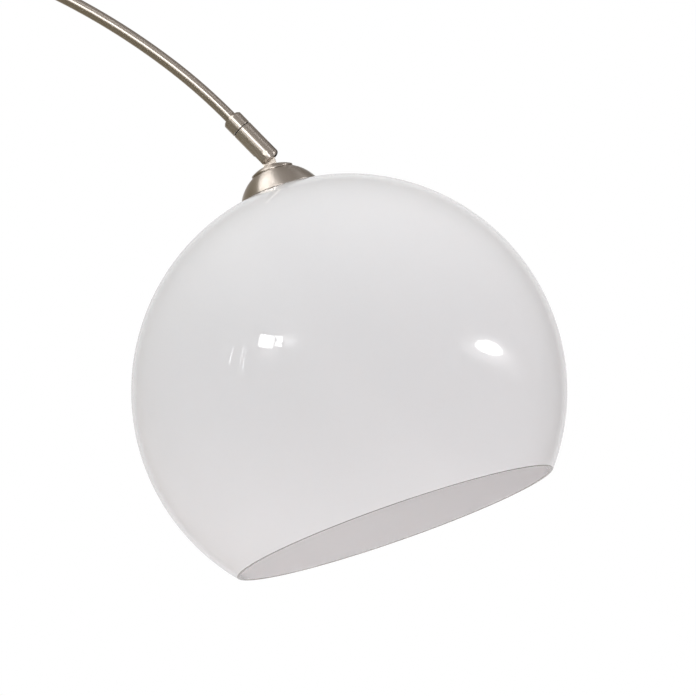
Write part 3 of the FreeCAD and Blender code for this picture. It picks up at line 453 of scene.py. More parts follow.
class Canvas:
    """A small wrapper that adds and joins the nodes of one material or node group."""

    def __init__(self, tree: bpy.types.NodeTree) -> None:
        """Keep the tree to draw in."""
        self.tree = tree

    def add(self, kind: str, **settings: object) -> bpy.types.Node:
        """Add a node.

        Args:
            kind: the node's class name.
            settings: properties to set on it.

        Returns:
            The new node.
        """
        node = self.tree.nodes.new(kind)
        for name, value in settings.items():
            setattr(node, name, value)
        return node

    def join(self, source: bpy.types.NodeSocket, target: bpy.types.NodeSocket) -> None:
        """Join an output to an input."""
        self.tree.links.new(source, target)

    def feed(self, target: bpy.types.NodeSocket, value: object) -> None:
        """Join a socket to an input, or set the input to a value.

        Args:
            target: the input.
            value: a socket or a number, or three numbers for a colour.
        """
        if isinstance(value, bpy.types.NodeSocket):
            self.join(value, target)
        else:
            target.default_value = (*value, 1.0) if isinstance(value, tuple) else value

    def maths(self, operation: str, *values: object) -> bpy.types.NodeSocket:
        """Add a Math node.

        Args:
            operation: the node's operation.
            values: sockets or numbers for its inputs.

        Returns:
            The node's output.
        """
        node = self.add("ShaderNodeMath", operation=operation)
        for target, value in zip(node.inputs, values):
            self.feed(target, value)
        return node.outputs[0]

    def vector(self, x: object, y: object, z: object) -> bpy.types.NodeSocket:
        """Combine three numbers into a vector.

        Args:
            x: a number or socket, as are the others.
            y: the second.
            z: the third.

        Returns:
            The vector.
        """
        node = self.add("ShaderNodeCombineXYZ")
        for target, value in zip(node.inputs, (x, y, z)):
            self.feed(target, value)
        return node.outputs[0]

    def noise(self, place: bpy.types.NodeSocket, scale: object, detail: float = 3.0,
              roughness: float = 0.5) -> bpy.types.NodeSocket:
        """Add a noise texture.

        Args:
            place: the coordinates it reads.
            scale: a number or socket.
            detail: how many finer layers it has.
            roughness: how strong the finer layers are.

        Returns:
            The noise's value.
        """
        node = self.add("ShaderNodeTexNoise")
        self.join(place, node.inputs["Vector"])
        self.feed(node.inputs["Scale"], scale)
        node.inputs["Detail"].default_value = detail
        node.inputs["Roughness"].default_value = roughness
        return node.outputs["Fac"]

    def span(self, value: bpy.types.NodeSocket, low: object, high: object,
             from_low: float = 0.3, from_high: float = 0.7) -> bpy.types.NodeSocket:
        """Map a value from one range to another, held within it.

        Args:
            value: the value to map.
            low: the result at from_low.
            high: the result at from_high.
            from_low: one end of the value's own range.
            from_high: its other end.

        Returns:
            The mapped value.
        """
        node = self.add("ShaderNodeMapRange")
        self.join(value, node.inputs["Value"])
        node.inputs["From Min"].default_value = from_low
        node.inputs["From Max"].default_value = from_high
        self.feed(node.inputs["To Min"], low)
        self.feed(node.inputs["To Max"], high)
        return node.outputs["Result"]

    def blend(self, factor: object, first: object, second: object) -> bpy.types.NodeSocket:
        """Mix two colours by a factor.

        Args:
            factor: 0 for the first, 1 for the second.
            first: a socket or a colour.
            second: another.

        Returns:
            The mixed colour.
        """
        node = self.add("ShaderNodeMix", data_type="RGBA")
        self.feed(node.inputs["Factor"], factor)
        for target, colour in zip(node.inputs[MIX_COLOURS], (first, second)):
            self.feed(target, colour)
        return node.outputs[MIX_RESULT]

    def bump(self, height: bpy.types.NodeSocket, distance: float, strength: float) -> bpy.types.NodeSocket:
        """Turn a height into a normal.

        Args:
            height: the height's value, from 0 to 1.
            distance: how tall it is, in metres.
            strength: how much of it shows.

        Returns:
            The normal.
        """
        node = self.add("ShaderNodeBump")
        node.inputs["Distance"].default_value = distance
        node.inputs["Strength"].default_value = strength
        self.join(height, node.inputs["Height"])
        return node.outputs["Normal"]

    def along(self, place: bpy.types.NodeSocket, direction: np.ndarray) -> bpy.types.NodeSocket:
        """Measure a place along a direction.

        Args:
            place: coordinates.
            direction: a vector of length one.

        Returns:
            The distance along it.
        """
        node = self.add("ShaderNodeVectorMath", operation="DOT_PRODUCT")
        self.join(place, node.inputs[0])
        node.inputs[1].default_value = tuple(float(v) for v in direction)
        return node.outputs["Value"]


class Effect(Enum):
    """The shared surface effects, each a node group built once."""

    TURNED_GRAIN = "turned grain"
    HANDLING = "handling marks"
    MOULDED_SKIN = "moulded skin"


Sockets = dict[str, bpy.types.NodeSocket]
BAND_RINGS = 55.0  # slow bands of a turned surface, in cells per metre
SPECK_FINENESS = 34.0  # how much finer specks are than patches


def new_group(effect: Effect, inputs: dict[str, float],
              outputs: Sequence[str]) -> tuple[Canvas, Sockets, Sockets]:
    """Start a node group with a place and named numbers in, and named values out.

    Args:
        effect: which effect it holds.
        inputs: names and first values of its number inputs.
        outputs: names of its outputs.

    Returns:
        The canvas, the sockets that come in by name, and the sockets to fill by name.
    """
    tree = bpy.data.node_groups.new(effect.value, "ShaderNodeTree")
    tree.interface.new_socket(name="Place", in_out="INPUT", socket_type="NodeSocketVector")
    for name, value in inputs.items():
        socket = tree.interface.new_socket(name=name, in_out="INPUT", socket_type="NodeSocketFloat")
        socket.default_value = value
    for name in outputs:
        tree.interface.new_socket(name=name, in_out="OUTPUT", socket_type="NodeSocketFloat")
    canvas = Canvas(tree)
    entry, leave = canvas.add("NodeGroupInput"), canvas.add("NodeGroupOutput")
    return canvas, {s.name: s for s in entry.outputs}, {s.name: s for s in leave.inputs}


def turned_grain_group() -> bpy.types.NodeTree:
    """Fine rings left by turning and brushing, from a place of (turns, metres along).

    The rings are noise that changes fast along the piece and slowly round it. The angle goes in
    as its cosine and sine, so the pattern meets itself after a full turn.

    Returns:
        The group's node tree.
    """
    canvas, given, wanted = new_group(
        Effect.TURNED_GRAIN, {"Rings": 1600.0, "Arc": 2.2}, ("Grain", "Band"))
    split = canvas.add("ShaderNodeSeparateXYZ")
    canvas.join(given["Place"], split.inputs[0])
    angle = canvas.maths("MULTIPLY", split.outputs[0], TURN)
    cosine = canvas.maths("MULTIPLY", canvas.maths("COSINE", angle), given["Arc"])
    sine = canvas.maths("MULTIPLY", canvas.maths("SINE", angle), given["Arc"])
    fast = canvas.maths("MULTIPLY", split.outputs[1], given["Rings"])
    slow = canvas.maths("MULTIPLY", split.outputs[1], BAND_RINGS)
    grain = canvas.noise(canvas.vector(cosine, sine, fast), 1.0, 4.0, 0.65)
    band = canvas.noise(canvas.vector(cosine, sine, slow), 1.0, 2.0)
    canvas.join(grain, wanted["Grain"])
    canvas.join(band, wanted["Band"])
    return canvas.tree


def handling_group() -> bpy.types.NodeTree:
    """Soft patches where a surface has been touched or holds a little dust.

    Returns:
        The group's node tree.
    """
    canvas, given, wanted = new_group(Effect.HANDLING, {"Size": 28.0}, ("Patches", "Specks"))
    patches = canvas.span(canvas.noise(given["Place"], given["Size"], 5.0, 0.6), 0.0, 1.0, 0.42, 0.7)
    speck_scale = canvas.maths("MULTIPLY", given["Size"], SPECK_FINENESS)
    specks = canvas.span(canvas.noise(given["Place"], speck_scale, 1.0), 0.0, 1.0, 0.66, 0.74)
    canvas.join(patches, wanted["Patches"])
    canvas.join(specks, wanted["Specks"])
    return canvas.tree


def moulded_skin_group() -> bpy.types.NodeTree:
    """The faint waves and pores of a moulded or cast surface.

    Returns:
        The group's node tree.
    """
    canvas, given, wanted = new_group(
        Effect.MOULDED_SKIN, {"Wave": 60.0, "Pore": 2200.0}, ("Waves", "Pores"))
    canvas.join(canvas.noise(given["Place"], given["Wave"], 2.0), wanted["Waves"])
    canvas.join(canvas.noise(given["Place"], given["Pore"], 3.0, 0.6), wanted["Pores"])
    return canvas.tree


GROUP_MAKERS: dict[Effect, Callable[[], bpy.types.NodeTree]] = {
    Effect.TURNED_GRAIN: turned_grain_group,
    Effect.HANDLING: handling_group,
    Effect.MOULDED_SKIN: moulded_skin_group,
}


def effect_tree(effect: Effect) -> bpy.types.NodeTree:
    """Give an effect's node group, built the first time it is asked for."""
    return bpy.data.node_groups.get(effect.value) or GROUP_MAKERS[effect]()


# ---------------------------------------------------------------- finishes

@dataclass(frozen=True)
class Finish(ABC):
    """A surface finish: its slot in the record, and how its material is built."""

    slot: str

    def material(self) -> bpy.types.Material:
        """Give the finish's material, built the first time it is asked for.

        Returns:
            The material.
        """
        found = bpy.data.materials.get(self.name)
        if found is not None:
            return found
        made = bpy.data.materials.new(self.name)
        made.use_nodes = True
        made.node_tree.nodes.clear()
        canvas = Canvas(made.node_tree)
        shader = canvas.add("ShaderNodeBsdfPrincipled")
        output = canvas.add("ShaderNodeOutputMaterial")
        canvas.join(shader.outputs[0], output.inputs["Surface"])
        self.paint(canvas, shader)
        return made

    @property
    def name(self) -> str:
        """The material's name."""
        return f"{self.slot}_finish"

    @abstractmethod
    def paint(self, canvas: Canvas, shader: bpy.types.Node) -> None:
        """Fill in the shader.

        Args:
            canvas: the material's canvas.
            shader: its Principled BSDF.
        """

    @staticmethod
    def effect(canvas: Canvas, effect: Effect, place: bpy.types.NodeSocket,
               **values: float) -> Sockets:
        """Place a shared effect in a material.

        Args:
            canvas: the material's canvas.
            effect: which effect.
            place: the coordinates it reads.
            values: the material's own values for the effect's inputs.

        Returns:
            The effect's outputs by name.
        """
        node = canvas.add("ShaderNodeGroup", node_tree=effect_tree(effect))
        canvas.join(place, node.inputs["Place"])
        for name, value in values.items():
            node.inputs[name].default_value = value
        return {socket.name: socket for socket in node.outputs}

    @staticmethod
    def object_place(canvas: Canvas) -> bpy.types.NodeSocket:
        """Object coordinates, which are the lamp's own frame in metres."""
        return canvas.add("ShaderNodeTexCoord").outputs["Object"]

    @staticmethod
    def turned_place(canvas: Canvas) -> bpy.types.NodeSocket:
        """The piece's own UV map: turns round its line and metres along its outline."""
        return canvas.add("ShaderNodeUVMap", uv_map="UVMap").outputs["UV"]


@dataclass(frozen=True)
class BrushedMetal(Finish):
    """Metal with fine turned rings, slow bands and handling marks."""

    bright: Colour = (0.665, 0.615, 0.565)
    deep: Colour = (0.63, 0.58, 0.53)
    smooth: float = 0.36
    rough: float = 0.375
    rings: float = 1500.0
    ring_depth: float = 0.0004 * MM
    turned: bool = True
    stretch: float = 0.92
    across_grain: float = 0.25
    band_share: float = 0.35
    patch_tone: float = 0.3
    patch_rough: float = 0.02

    def paint(self, canvas: Canvas, shader: bpy.types.Node) -> None:
        """Rings drive tone, roughness and bump; patches dull the metal a little.

        Args:
            canvas: the material's canvas.
            shader: its Principled BSDF.
        """
        whole = self.object_place(canvas)
        marks = self.effect(canvas, Effect.HANDLING, whole, Size=24.0)
        shader.inputs["Metallic"].default_value = 1.0
        if not self.turned:
            skin = self.effect(canvas, Effect.MOULDED_SKIN, whole, Wave=120.0, Pore=self.rings)
            grain, band = skin["Pores"], skin["Waves"]
        else:
            rings = self.effect(canvas, Effect.TURNED_GRAIN, self.turned_place(canvas), Rings=self.rings)
            grain, band = rings["Grain"], rings["Band"]
            tangent = canvas.add("ShaderNodeTangent", direction_type="UV_MAP", uv_map="UVMap")
            shader.inputs["Anisotropic"].default_value = self.stretch
            shader.inputs["Anisotropic Rotation"].default_value = self.across_grain
            canvas.join(tangent.outputs[0], shader.inputs["Tangent"])
        tone = canvas.blend(canvas.span(grain, 0.0, 1.0), self.deep, self.bright)
        tone = canvas.blend(canvas.span(band, 0.0, self.band_share), tone, self.bright)
        dulled = canvas.maths("MULTIPLY", marks["Patches"], self.patch_tone)
        canvas.join(canvas.blend(dulled, tone, self.deep), shader.inputs["Base Color"])
        rough = canvas.span(grain, self.smooth, self.rough)
        dulled = canvas.maths("MULTIPLY", marks["Patches"], self.patch_rough)
        canvas.join(canvas.maths("ADD", rough, dulled), shader.inputs["Roughness"])
        canvas.join(canvas.bump(grain, self.ring_depth, 0.5), shader.inputs["Normal"])


@dataclass(frozen=True)
class OpalAcrylic(Finish):
    """Glossy opal acrylic, with the faint flow and waviness of a blown ball."""

    body: Colour = (0.955, 0.945, 0.95)
    warm: Colour = (0.955, 0.935, 0.935)
    gloss: float = 0.015
    depth: Colour = (1.0, 0.95, 0.93)
    # painted shade along the mouth's cut rim: its colour, and the height along the axis below which it lies
    rim_shade_colour: Colour = (0.22, 0.21, 0.20)
    cut_height: float = -112.6 * MM
    reach: float = 9.0 * MM
    speck: Colour = (0.7, 0.68, 0.66)
    speck_share: float = 0.05
    patch_rough: float = 0.02
    ior: float = 1.49
    wave_height: float = 0.25 * MM
    wave_share: float = 0.03

    def paint(self, canvas: Canvas, shader: bpy.types.Node) -> None:
        """Light goes a little way into the wall; waves and specks are faint; painted shade darkens the mouth's cut
        rim.

        Args:
            canvas: the material's canvas.
            shader: its Principled BSDF.
        """
        place = self.object_place(canvas)
        skin = self.effect(canvas, Effect.MOULDED_SKIN, place, Wave=9.0, Pore=900.0)
        marks = self.effect(canvas, Effect.HANDLING, place, Size=16.0)
        tint = canvas.blend(canvas.span(skin["Waves"], 0.0, 1.0), self.body, self.warm)
        tint = canvas.blend(canvas.maths("MULTIPLY", marks["Specks"], self.speck_share), tint, self.speck)
        # painted shade: the tone goes near black below cut_height, a thin band at the mouth's rim
        edge = float(HEAD.origin @ HEAD.along) + self.cut_height
        cut = canvas.maths("LESS_THAN", canvas.along(place, HEAD.along), edge)
        canvas.join(canvas.blend(cut, tint, self.rim_shade_colour), shader.inputs["Base Color"])
        dulled = canvas.maths("MULTIPLY", marks["Patches"], self.patch_rough)
        canvas.join(canvas.maths("ADD", dulled, self.gloss), shader.inputs["Roughness"])
        shader.inputs["IOR"].default_value = self.ior
        shader.inputs["Subsurface Weight"].default_value = 1.0
        shader.inputs["Subsurface Radius"].default_value = self.depth
        shader.inputs["Subsurface Scale"].default_value = self.reach
        canvas.join(canvas.bump(skin["Waves"], self.wave_height, self.wave_share), shader.inputs["Normal"])


@dataclass(frozen=True)
class Moulded(Finish):
    """Moulded plastic, rubber, nylon or cast iron: a tone, its gloss and the size of its skin."""

    tone: Colour = (0.5, 0.5, 0.5)
    worn: Colour = (0.6, 0.6, 0.6)
    smooth: float = 0.35
    rough: float = 0.55
    pore: float = 2200.0
    relief: float = 0.03 * MM
    metal: float = 0.0
    wave_share: float = 0.5
    patch_share: float = 0.35

    def paint(self, canvas: Canvas, shader: bpy.types.Node) -> None:
        """Pores give bump and gloss changes; waves and patches shift the tone.

        Args:
            canvas: the material's canvas.
            shader: its Principled BSDF.
        """
        place = self.object_place(canvas)
        skin = self.effect(canvas, Effect.MOULDED_SKIN, place, Wave=70.0, Pore=self.pore)
        marks = self.effect(canvas, Effect.HANDLING, place, Size=40.0)
        shade = canvas.blend(canvas.span(skin["Waves"], 0.0, self.wave_share), self.tone, self.worn)
        touched = canvas.maths("MULTIPLY", marks["Patches"], self.patch_share)
        canvas.join(canvas.blend(touched, shade, self.worn), shader.inputs["Base Color"])
        canvas.join(canvas.span(skin["Pores"], self.smooth, self.rough), shader.inputs["Roughness"])
        shader.inputs["Metallic"].default_value = self.metal
        canvas.join(canvas.bump(skin["Pores"], self.relief, 0.6), shader.inputs["Normal"])


@dataclass(frozen=True)
class SlotShadedMetal(BrushedMetal):
    """Brushed metal with painted shade in the slot milled across the knuckle. Sizes in metres."""

    slot_half: float = 3.12 * MM
    slot_floor: float = 5.72 * MM
    # painted shade: the near-black tone given to the slot's inside
    slot_shade_colour: Colour = (0.03, 0.027, 0.024)

    @property
    def name(self) -> str:
        """The material's name."""
        return f"{self.slot}_slot_shaded"

    def paint(self, canvas: Canvas, shader: bpy.types.Node) -> None:
        """Paint shade into the tone where a point lies between the slot's sides and below its floor.

        Args:
            canvas: the material's canvas.
            shader: its Principled BSDF.
        """
        super().paint(canvas, shader)
        place = self.object_place(canvas)
        sideways = canvas.maths("ABSOLUTE", canvas.along(place, Y_AXIS))
        floor = float(KNUCKLE.origin @ KNUCKLE.along) + self.slot_floor
        between = canvas.maths("LESS_THAN", sideways, self.slot_half)
        below = canvas.maths("LESS_THAN", canvas.along(place, KNUCKLE.along), floor)
        lit = shader.inputs["Base Color"].links[0].from_socket
        # painted shade: blend the tone to near black inside the slot
        slot = canvas.blend(canvas.maths("MULTIPLY", between, below), lit, self.slot_shade_colour)
        canvas.join(slot, shader.inputs["Base Color"])


SATIN_NICKEL = BrushedMetal("satin_nickel")
# the knuckle's nickel, with painted shade in its slot
SLOT_SHADED_NICKEL = SlotShadedMetal("satin_nickel")
ZINC_STEEL = BrushedMetal("zinc_steel", bright=(0.72, 0.72, 0.74), deep=(0.52, 0.53, 0.56),
                          smooth=0.28, rough=0.42, turned=False)
BRASS = BrushedMetal("brass", bright=(0.84, 0.66, 0.34), deep=(0.62, 0.46, 0.2), turned=False)
BULB_ALUMINIUM = BrushedMetal("bulb_aluminium", bright=(0.8, 0.8, 0.81), deep=(0.62, 0.62, 0.64))
OPAL = OpalAcrylic("opal_acrylic")
CAST_IRON = Moulded("cast_iron", (0.035, 0.035, 0.038), (0.08, 0.075, 0.07), 0.5, 0.75, 700.0, 0.3 * MM,
                    metal=0.3)
RUBBER = Moulded("rubber_black", (0.018, 0.018, 0.018), (0.04, 0.04, 0.04), 0.55, 0.75)
NYLON = Moulded("nylon_white", (0.80, 0.80, 0.76), (0.72, 0.71, 0.66), 0.4, 0.55)
BLACK_PLASTIC = Moulded("black_plastic", (0.02, 0.02, 0.022), (0.045, 0.045, 0.045), 0.3, 0.5, 1800.0)
HOLDER_PLASTIC = Moulded("holder_plastic", (0.78, 0.78, 0.75), (0.7, 0.7, 0.66), 0.3, 0.45)
LEAD_WHITE = Moulded("lead_white", (0.82, 0.82, 0.8), (0.74, 0.74, 0.72), 0.35, 0.5)
BULB_OPAL = Moulded("bulb_opal", (0.93, 0.92, 0.9), (0.9, 0.89, 0.86), 0.12, 0.2, 1500.0, 0.01 * MM)
FLOOR = Moulded("floor", (0.82, 0.82, 0.82), (0.84, 0.84, 0.84), 0.6, 0.8)
ALL_FINISHES = (SATIN_NICKEL, ZINC_STEEL, BRASS, BULB_ALUMINIUM, OPAL, CAST_IRON, RUBBER, NYLON,
                BLACK_PLASTIC, HOLDER_PLASTIC, LEAD_WHITE, BULB_OPAL)


# ---------------------------------------------------------------- sub-assemblies

@dataclass
class SubAssembly(ABC):
    """A group of pieces that ride on one body of the frame."""

    body: str

    @abstractmethod
    def build(self) -> None:
        """Build every piece of the group."""

    def settle(self, piece: bpy.types.Object, finish: Finish, node: str) -> None:
        """Dress a piece, tie it to the body and let it stand for its node.

        Args:
            piece: the finished mesh.
            finish: its finish.
            node: the frame's node that it stands for.
        """
        piece.data.materials.append(finish.material())
        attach(piece, self.body)
        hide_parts(node)
        LOG.info("%s: %s, %d faces", self.body, piece.name, len(piece.data.polygons))

    def carry(self, name: str, outline: np.ndarray, line: Line, finish: Finish, node: str,
              around: int = 64, longest: float = 50.0, ripple: Optional[Ripple] = None) -> None:
        """Carry an outline round a line and settle the piece for its node.

        Args:
            name: the piece's name.
            outline: (s, r) rows in metres.
            line: the centre line.
            finish: the piece's finish.
            node: the frame's node that it stands for.
            around: how many steps one turn has.
            longest: the longest step along the outline, in millimetres.
            ripple: a function of s, r and the angle that gives the new r, or None.
        """
        self.settle(carried(name, outline, line, around, longest * MM, ripple), finish, node)


def outlined(rows: Sequence[tuple[float, ...]], ease: float = 0.25, steps: int = 3) -> np.ndarray:
    """Draw a closed outline from its corners.

    Args:
        rows: corners as (s, r) or (s, r, rounding), in millimetres.
        ease: rounding of a corner that states none, in millimetres.
        steps: how many chords each rounding has.

    Returns:
        The outline in metres.
    """
    section = Section(ease * MM, steps)
    for s, r, *rounding in rows:
        section.to(s * MM, r * MM, *(value * MM for value in rounding))
    return section.points()


def ring_section(low: float, high: float, inner: float, outer: float, ease: float = 0.25) -> np.ndarray:
    """Outline of a plain sleeve.

    Args:
        low: s of its lower end, in millimetres, as are the others.
        high: s of its upper end.
        inner: bore radius.
        outer: outer radius.
        ease: rounding of its corners.

    Returns:
        The outline in metres.
    """
    return outlined(((low, inner), (low, outer), (high, outer), (high, inner)), ease)


def wave(angle: np.ndarray) -> np.ndarray:
    """Rise and fall between nothing and one: half of one plus the cosine."""
    return 0.5 + 0.5 * np.cos(angle)


def fade(value: np.ndarray, start: float, length: float) -> np.ndarray:
    """Go from nothing to one over a length, in a straight line."""
    return np.clip((value - start) / length, 0, 1)


@dataclass
class Stand(SubAssembly):
    """Base, column, top sleeve and bush. Sizes in millimetres."""

    cover_radius: float = 180.0
    cover_top: float = 28.2
    cover_wall: float = 1.2
    cover_round: float = 9.0
    cover_foot: float = 2.0
    gland_height: float = 8.5
    gland_bore: float = 3.2
    gland_neck: float = 4.9
    gland_flange: float = 6.4
    gland_depth: float = 9.5
    stud_hole: float = 5.3
    ring_radius: float = 19.0
    ring_height: float = 15.0
    ring_round: float = 3.5
    ring_grooves: tuple[float, ...] = (2.6, 4.0)
    groove: float = 0.35
    column_radius: float = 11.0
    column_play: float = 0.05
    column_inner: float = 9.5
    column_foot: float = 30.2
    column_joint: float = 662.0
    column_top: float = 1292.0
    bush_inner: float = 8.05
    bush_outer: float = 10.45
    bush_flange: float = 13.0
    flange_height: float = 1.5
    sleeve_top: float = 1330.0

    def build(self) -> None:
        """Build the stand from the floor up."""
        self.cover()
        self.gland()
        self.foot_ring()
        self.column()
        self.settle(softened_copy("machined_top_sleeve", "top_sleeve", COLUMN, 0.3 * MM), SATIN_NICKEL,
                    "top_sleeve")
        self.top_bush()

    def cover(self) -> None:
        """Spun cover: a flat top, a rounded shoulder and a rolled lower edge."""
        outer, top, wall, bend = (v * MM for v in (self.cover_radius, self.cover_top, self.cover_wall,
                                                   self.cover_round))
        foot, hole = self.cover_foot * MM, self.stud_hole * MM
        section = Section(0.3 * MM)
        section.to(foot, outer - wall).to(foot, outer)
        section.bow(top - bend, bend, math.pi / 2, 0.0, 14, outer - bend)
        section.to(top, hole).to(top - wall, hole)
        section.bow(top - bend, bend - wall, 0.0, math.pi / 2, 14, outer - bend)
        self.carry("spun_base_cover", section.points(), COLUMN, SATIN_NICKEL, "base_cover", 180, 8.0)

    def gland(self) -> None:
        """Grommet at the rear edge, with a domed flange round its hole."""
        mouth = np.array([-self.cover_radius * MM, 0.0, self.gland_height * MM])
        line = Axis(mouth, np.array([1.0, 0.0, 0.0]))
        bore, neck, flange, depth = self.gland_bore, self.gland_neck, self.gland_flange, self.gland_depth
        rows = ((-1.5, bore, 0.5), (-1.5, flange, 0.9), (0.0, flange, 0.2), (0.0, neck, 0.1),
                (depth, neck, 0.3), (depth, bore, 0.3))
        self.carry("lead_grommet", outlined(rows, steps=4), line, RUBBER, "cord_gland", 40)

    def foot_ring(self) -> None:
        """Turned ring with two fine grooves round its side."""
        low, high, outer = self.cover_top, self.cover_top + self.ring_height, self.ring_radius
        seat, socket = self.column_foot, self.column_radius + self.column_play
        rows: list[tuple[float, ...]] = [(low, self.stud_hole), (low, outer)]
        for middle in self.ring_grooves:
            rows += [(low + middle + ds, outer + dr, 0.08)
                     for ds, dr in ((-self.groove, 0.0), (0.0, -self.groove), (self.groove, 0.0))]
        rows += [(high, outer, self.ring_round), (high, socket), (seat, socket), (seat, self.stud_hole)]
        self.carry("turned_foot_ring", outlined(rows, 0.3, 6), COLUMN, SATIN_NICKEL, "foot_ring", 96, 4.0)

    def column(self) -> None:
        """The two column tubes, which meet in a fine eased seam."""
        spans = {"column_lower": (self.column_foot, self.column_joint),
                 "column_upper": (self.column_joint, self.column_top)}
        for name, (low, high) in spans.items():
            outline = ring_section(low, high, self.column_inner, self.column_radius, 0.5)
            self.carry(f"{name}_sleeve", outline, COLUMN, SATIN_NICKEL, f"{name}_tube", longest=40.0)

    def top_bush(self) -> None:
        """Nylon bush with a thin flange."""
        low, high, top = self.column_top, self.sleeve_top, self.sleeve_top + self.flange_height
        rows = ((low, self.bush_inner), (low, self.bush_outer), (high, self.bush_outer),
                (high, self.bush_flange), (top, self.bush_flange), (top, self.bush_inner))
        self.carry("leg_bush", outlined(rows), COLUMN, NYLON, "top_bush")


@dataclass
class ClampKnob(SubAssembly):
    """Hand knob and its screw. Sizes in millimetres, along the screw from the column's axis."""

    start: float = 20.3
    length: float = 16.0
    neck_radius: float = 6.5
    neck_length: float = 5.0
    grip_radius: float = 12.95
    flutes: int = 8
    flute_depth: float = 1.7
    screw_radius: float = 3.0
    screw_tip: float = 8.15
    screw_chamfer: float = 0.5
    socket_depth: float = 11.0
    thread_pitch: float = 1.0
    thread_depth: float = 0.3

    def build(self) -> None:
        """Build the knob and its threaded screw."""
        self.knob()
        self.screw()

    def knob(self) -> None:
        """Fluted grip: the radius dips by a smooth wave round the knob, past its neck."""
        low, high, neck, grip = self.start, self.start + self.length, self.neck_radius, self.grip_radius
        skirt, socket = low + self.neck_length, low + self.socket_depth
        rows = ((low, 3.0, 0.1), (low, neck, 0.6), (skirt, neck, 0.5), (skirt, grip, 1.0), (high, grip, 2.4),
                (high, 6.2, 0.6), (high - 1.0, 5.4, 0.5), (high - 1.0, 0.0, 0.0), (socket, 0.0, 0.0),
                (socket, 3.0, 0.1))

        def fluted(s: np.ndarray, r: np.ndarray, angle: np.ndarray) -> np.ndarray:
            """Dip the radius: depth times the fourth power of a cosine, fading in past the neck."""
            share = fade(r / MM, neck + 1.0, grip - neck - 1.0)
            return r - self.flute_depth * MM * share * wave(self.flutes * angle) ** 2

        outline = outlined(rows, steps=5)
        self.carry("fluted_hand_knob", outline, CLAMP, BLACK_PLASTIC, "clamp_knob", 192, 1.5, fluted)

    def screw(self) -> None:
        """Screw with a real helical thread: the radius waves once for each pitch and each turn."""
        low, high, radius, ease = self.screw_tip, self.start + 10.9, self.screw_radius, self.screw_chamfer
        rows = ((low, 0.0), (low, radius - ease), (low + ease, radius), (high, radius), (high, 0.0))

        def threaded(s: np.ndarray, r: np.ndarray, angle: np.ndarray) -> np.ndarray:
            """Cut the thread only where the outline is at its full radius."""
            full = fade(r / MM, radius - ease, 0.4)
            return r - self.thread_depth * MM * full * wave(TURN * s / (self.thread_pitch * MM) - angle)

        outline = outlined(rows, 0.3)
        self.carry("clamp_screw_thread", outline, CLAMP, ZINC_STEEL, "clamp_screw", 32, 0.2, threaded)


@dataclass
class Arm(SubAssembly):
    """Nested tubes, their ferrules, and the fixed collar at the tip. Sizes in millimetres."""

    root_radius: float = 8.0
    mid_radius: float = 6.5
    tip_radius: float = 5.0
    wall: float = 1.2
    tip_wall: float = 1.0
    root_end: float = math.radians(58)
    mid_start: float = math.radians(50)
    mid_end: float = math.radians(99)
    tip_start: float = math.radians(92)
    tip_reach: float = 8.8
    ferrule_play: float = 0.15
    collar_radius: float = 8.5
    collar_low: float = 29.0
    collar_high: float = 41.4
    collar_chamfer: float = 1.7
    collar_bore: float = 4.05
    collar_socket: float = 5.05
    socket_depth: float = 9.0

    def build(self) -> None:
        """Build the arm from the leg to the collar."""
        self.tubes()
        self.ferrule("lower", self.root_end, self.root_radius, self.mid_radius)
        self.ferrule("upper", self.mid_end, self.mid_radius, self.tip_radius)
        self.collar()

    def tubes(self) -> None:
        """The three tubes, each carried along the arm's own line."""
        spans = {
            "root": (-LEG_LENGTH, ARM.station(self.root_end), self.root_radius, self.wall),
            "mid": (ARM.station(self.mid_start), ARM.station(self.mid_end), self.mid_radius, self.wall),
            "tip": (ARM.station(self.tip_start), ARM.length + self.tip_reach * MM, self.tip_radius,
                    self.tip_wall),
        }
        for name, (low, high, radius, wall) in spans.items():
            outline = ring_section(low / MM, high / MM, radius - wall, radius, 0.3)
            self.carry(f"bent_{name}_tube", outline, ARM, SATIN_NICKEL, f"arm_{name}_tube", longest=8.0)

    def ferrule(self, name: str, angle: float, outer: float, inner: float) -> None:
        """Turned ferrule with a groove, stepping down to the thinner tube.

        Args:
            name: lower or upper.
            angle: where the thicker tube ends on the wide arc.
            outer: radius of the thicker tube.
            inner: radius of the thinner tube.
        """
        end = ARM.station(angle) / MM
        wide, slim = outer + 1.7, inner + 1.1
        grip, slide = outer + self.ferrule_play, inner + self.ferrule_play
        rows = ((-15.0, grip, 0.2), (-15.0, wide, 0.8), (-2.6, wide, 0.1), (-2.2, wide - 0.4, 0.1),
                (-1.8, wide, 0.1), (0.0, wide, 0.8), (4.8, slim, 0.8), (8.0, slim, 0.4), (8.0, slide, 0.1),
                (0.2, slide, 0.1), (0.2, grip, 0.1))
        outline = outlined([(end + s, r, ease) for s, r, ease in rows], steps=4)
        self.carry(f"turned_{name}_ferrule", outline, ARM, SATIN_NICKEL, f"arm_ferrule_{name}", longest=3.0)

    def collar(self) -> None:
        """Fixed collar with a broad chamfer round its mouth and a fine step at the seam."""
        low, high, outer = self.collar_low, self.collar_high, self.collar_radius
        chamfer = self.collar_chamfer
        bore, socket, floor = self.collar_bore, self.collar_socket, self.collar_high - self.socket_depth
        rows = ((low, bore, 0.1), (low, outer - 0.3, 0.1), (low + 0.3, outer, 0.15),
                (high - chamfer, outer, 0.5), (high, outer - chamfer, 0.5), (high, socket, 0.15),
                (floor, socket, 0.1), (floor, bore, 0.1))
        self.carry("turned_collar", outlined(rows, steps=4), KNUCKLE, SATIN_NICKEL, "joint_collar", 80, 2.0)


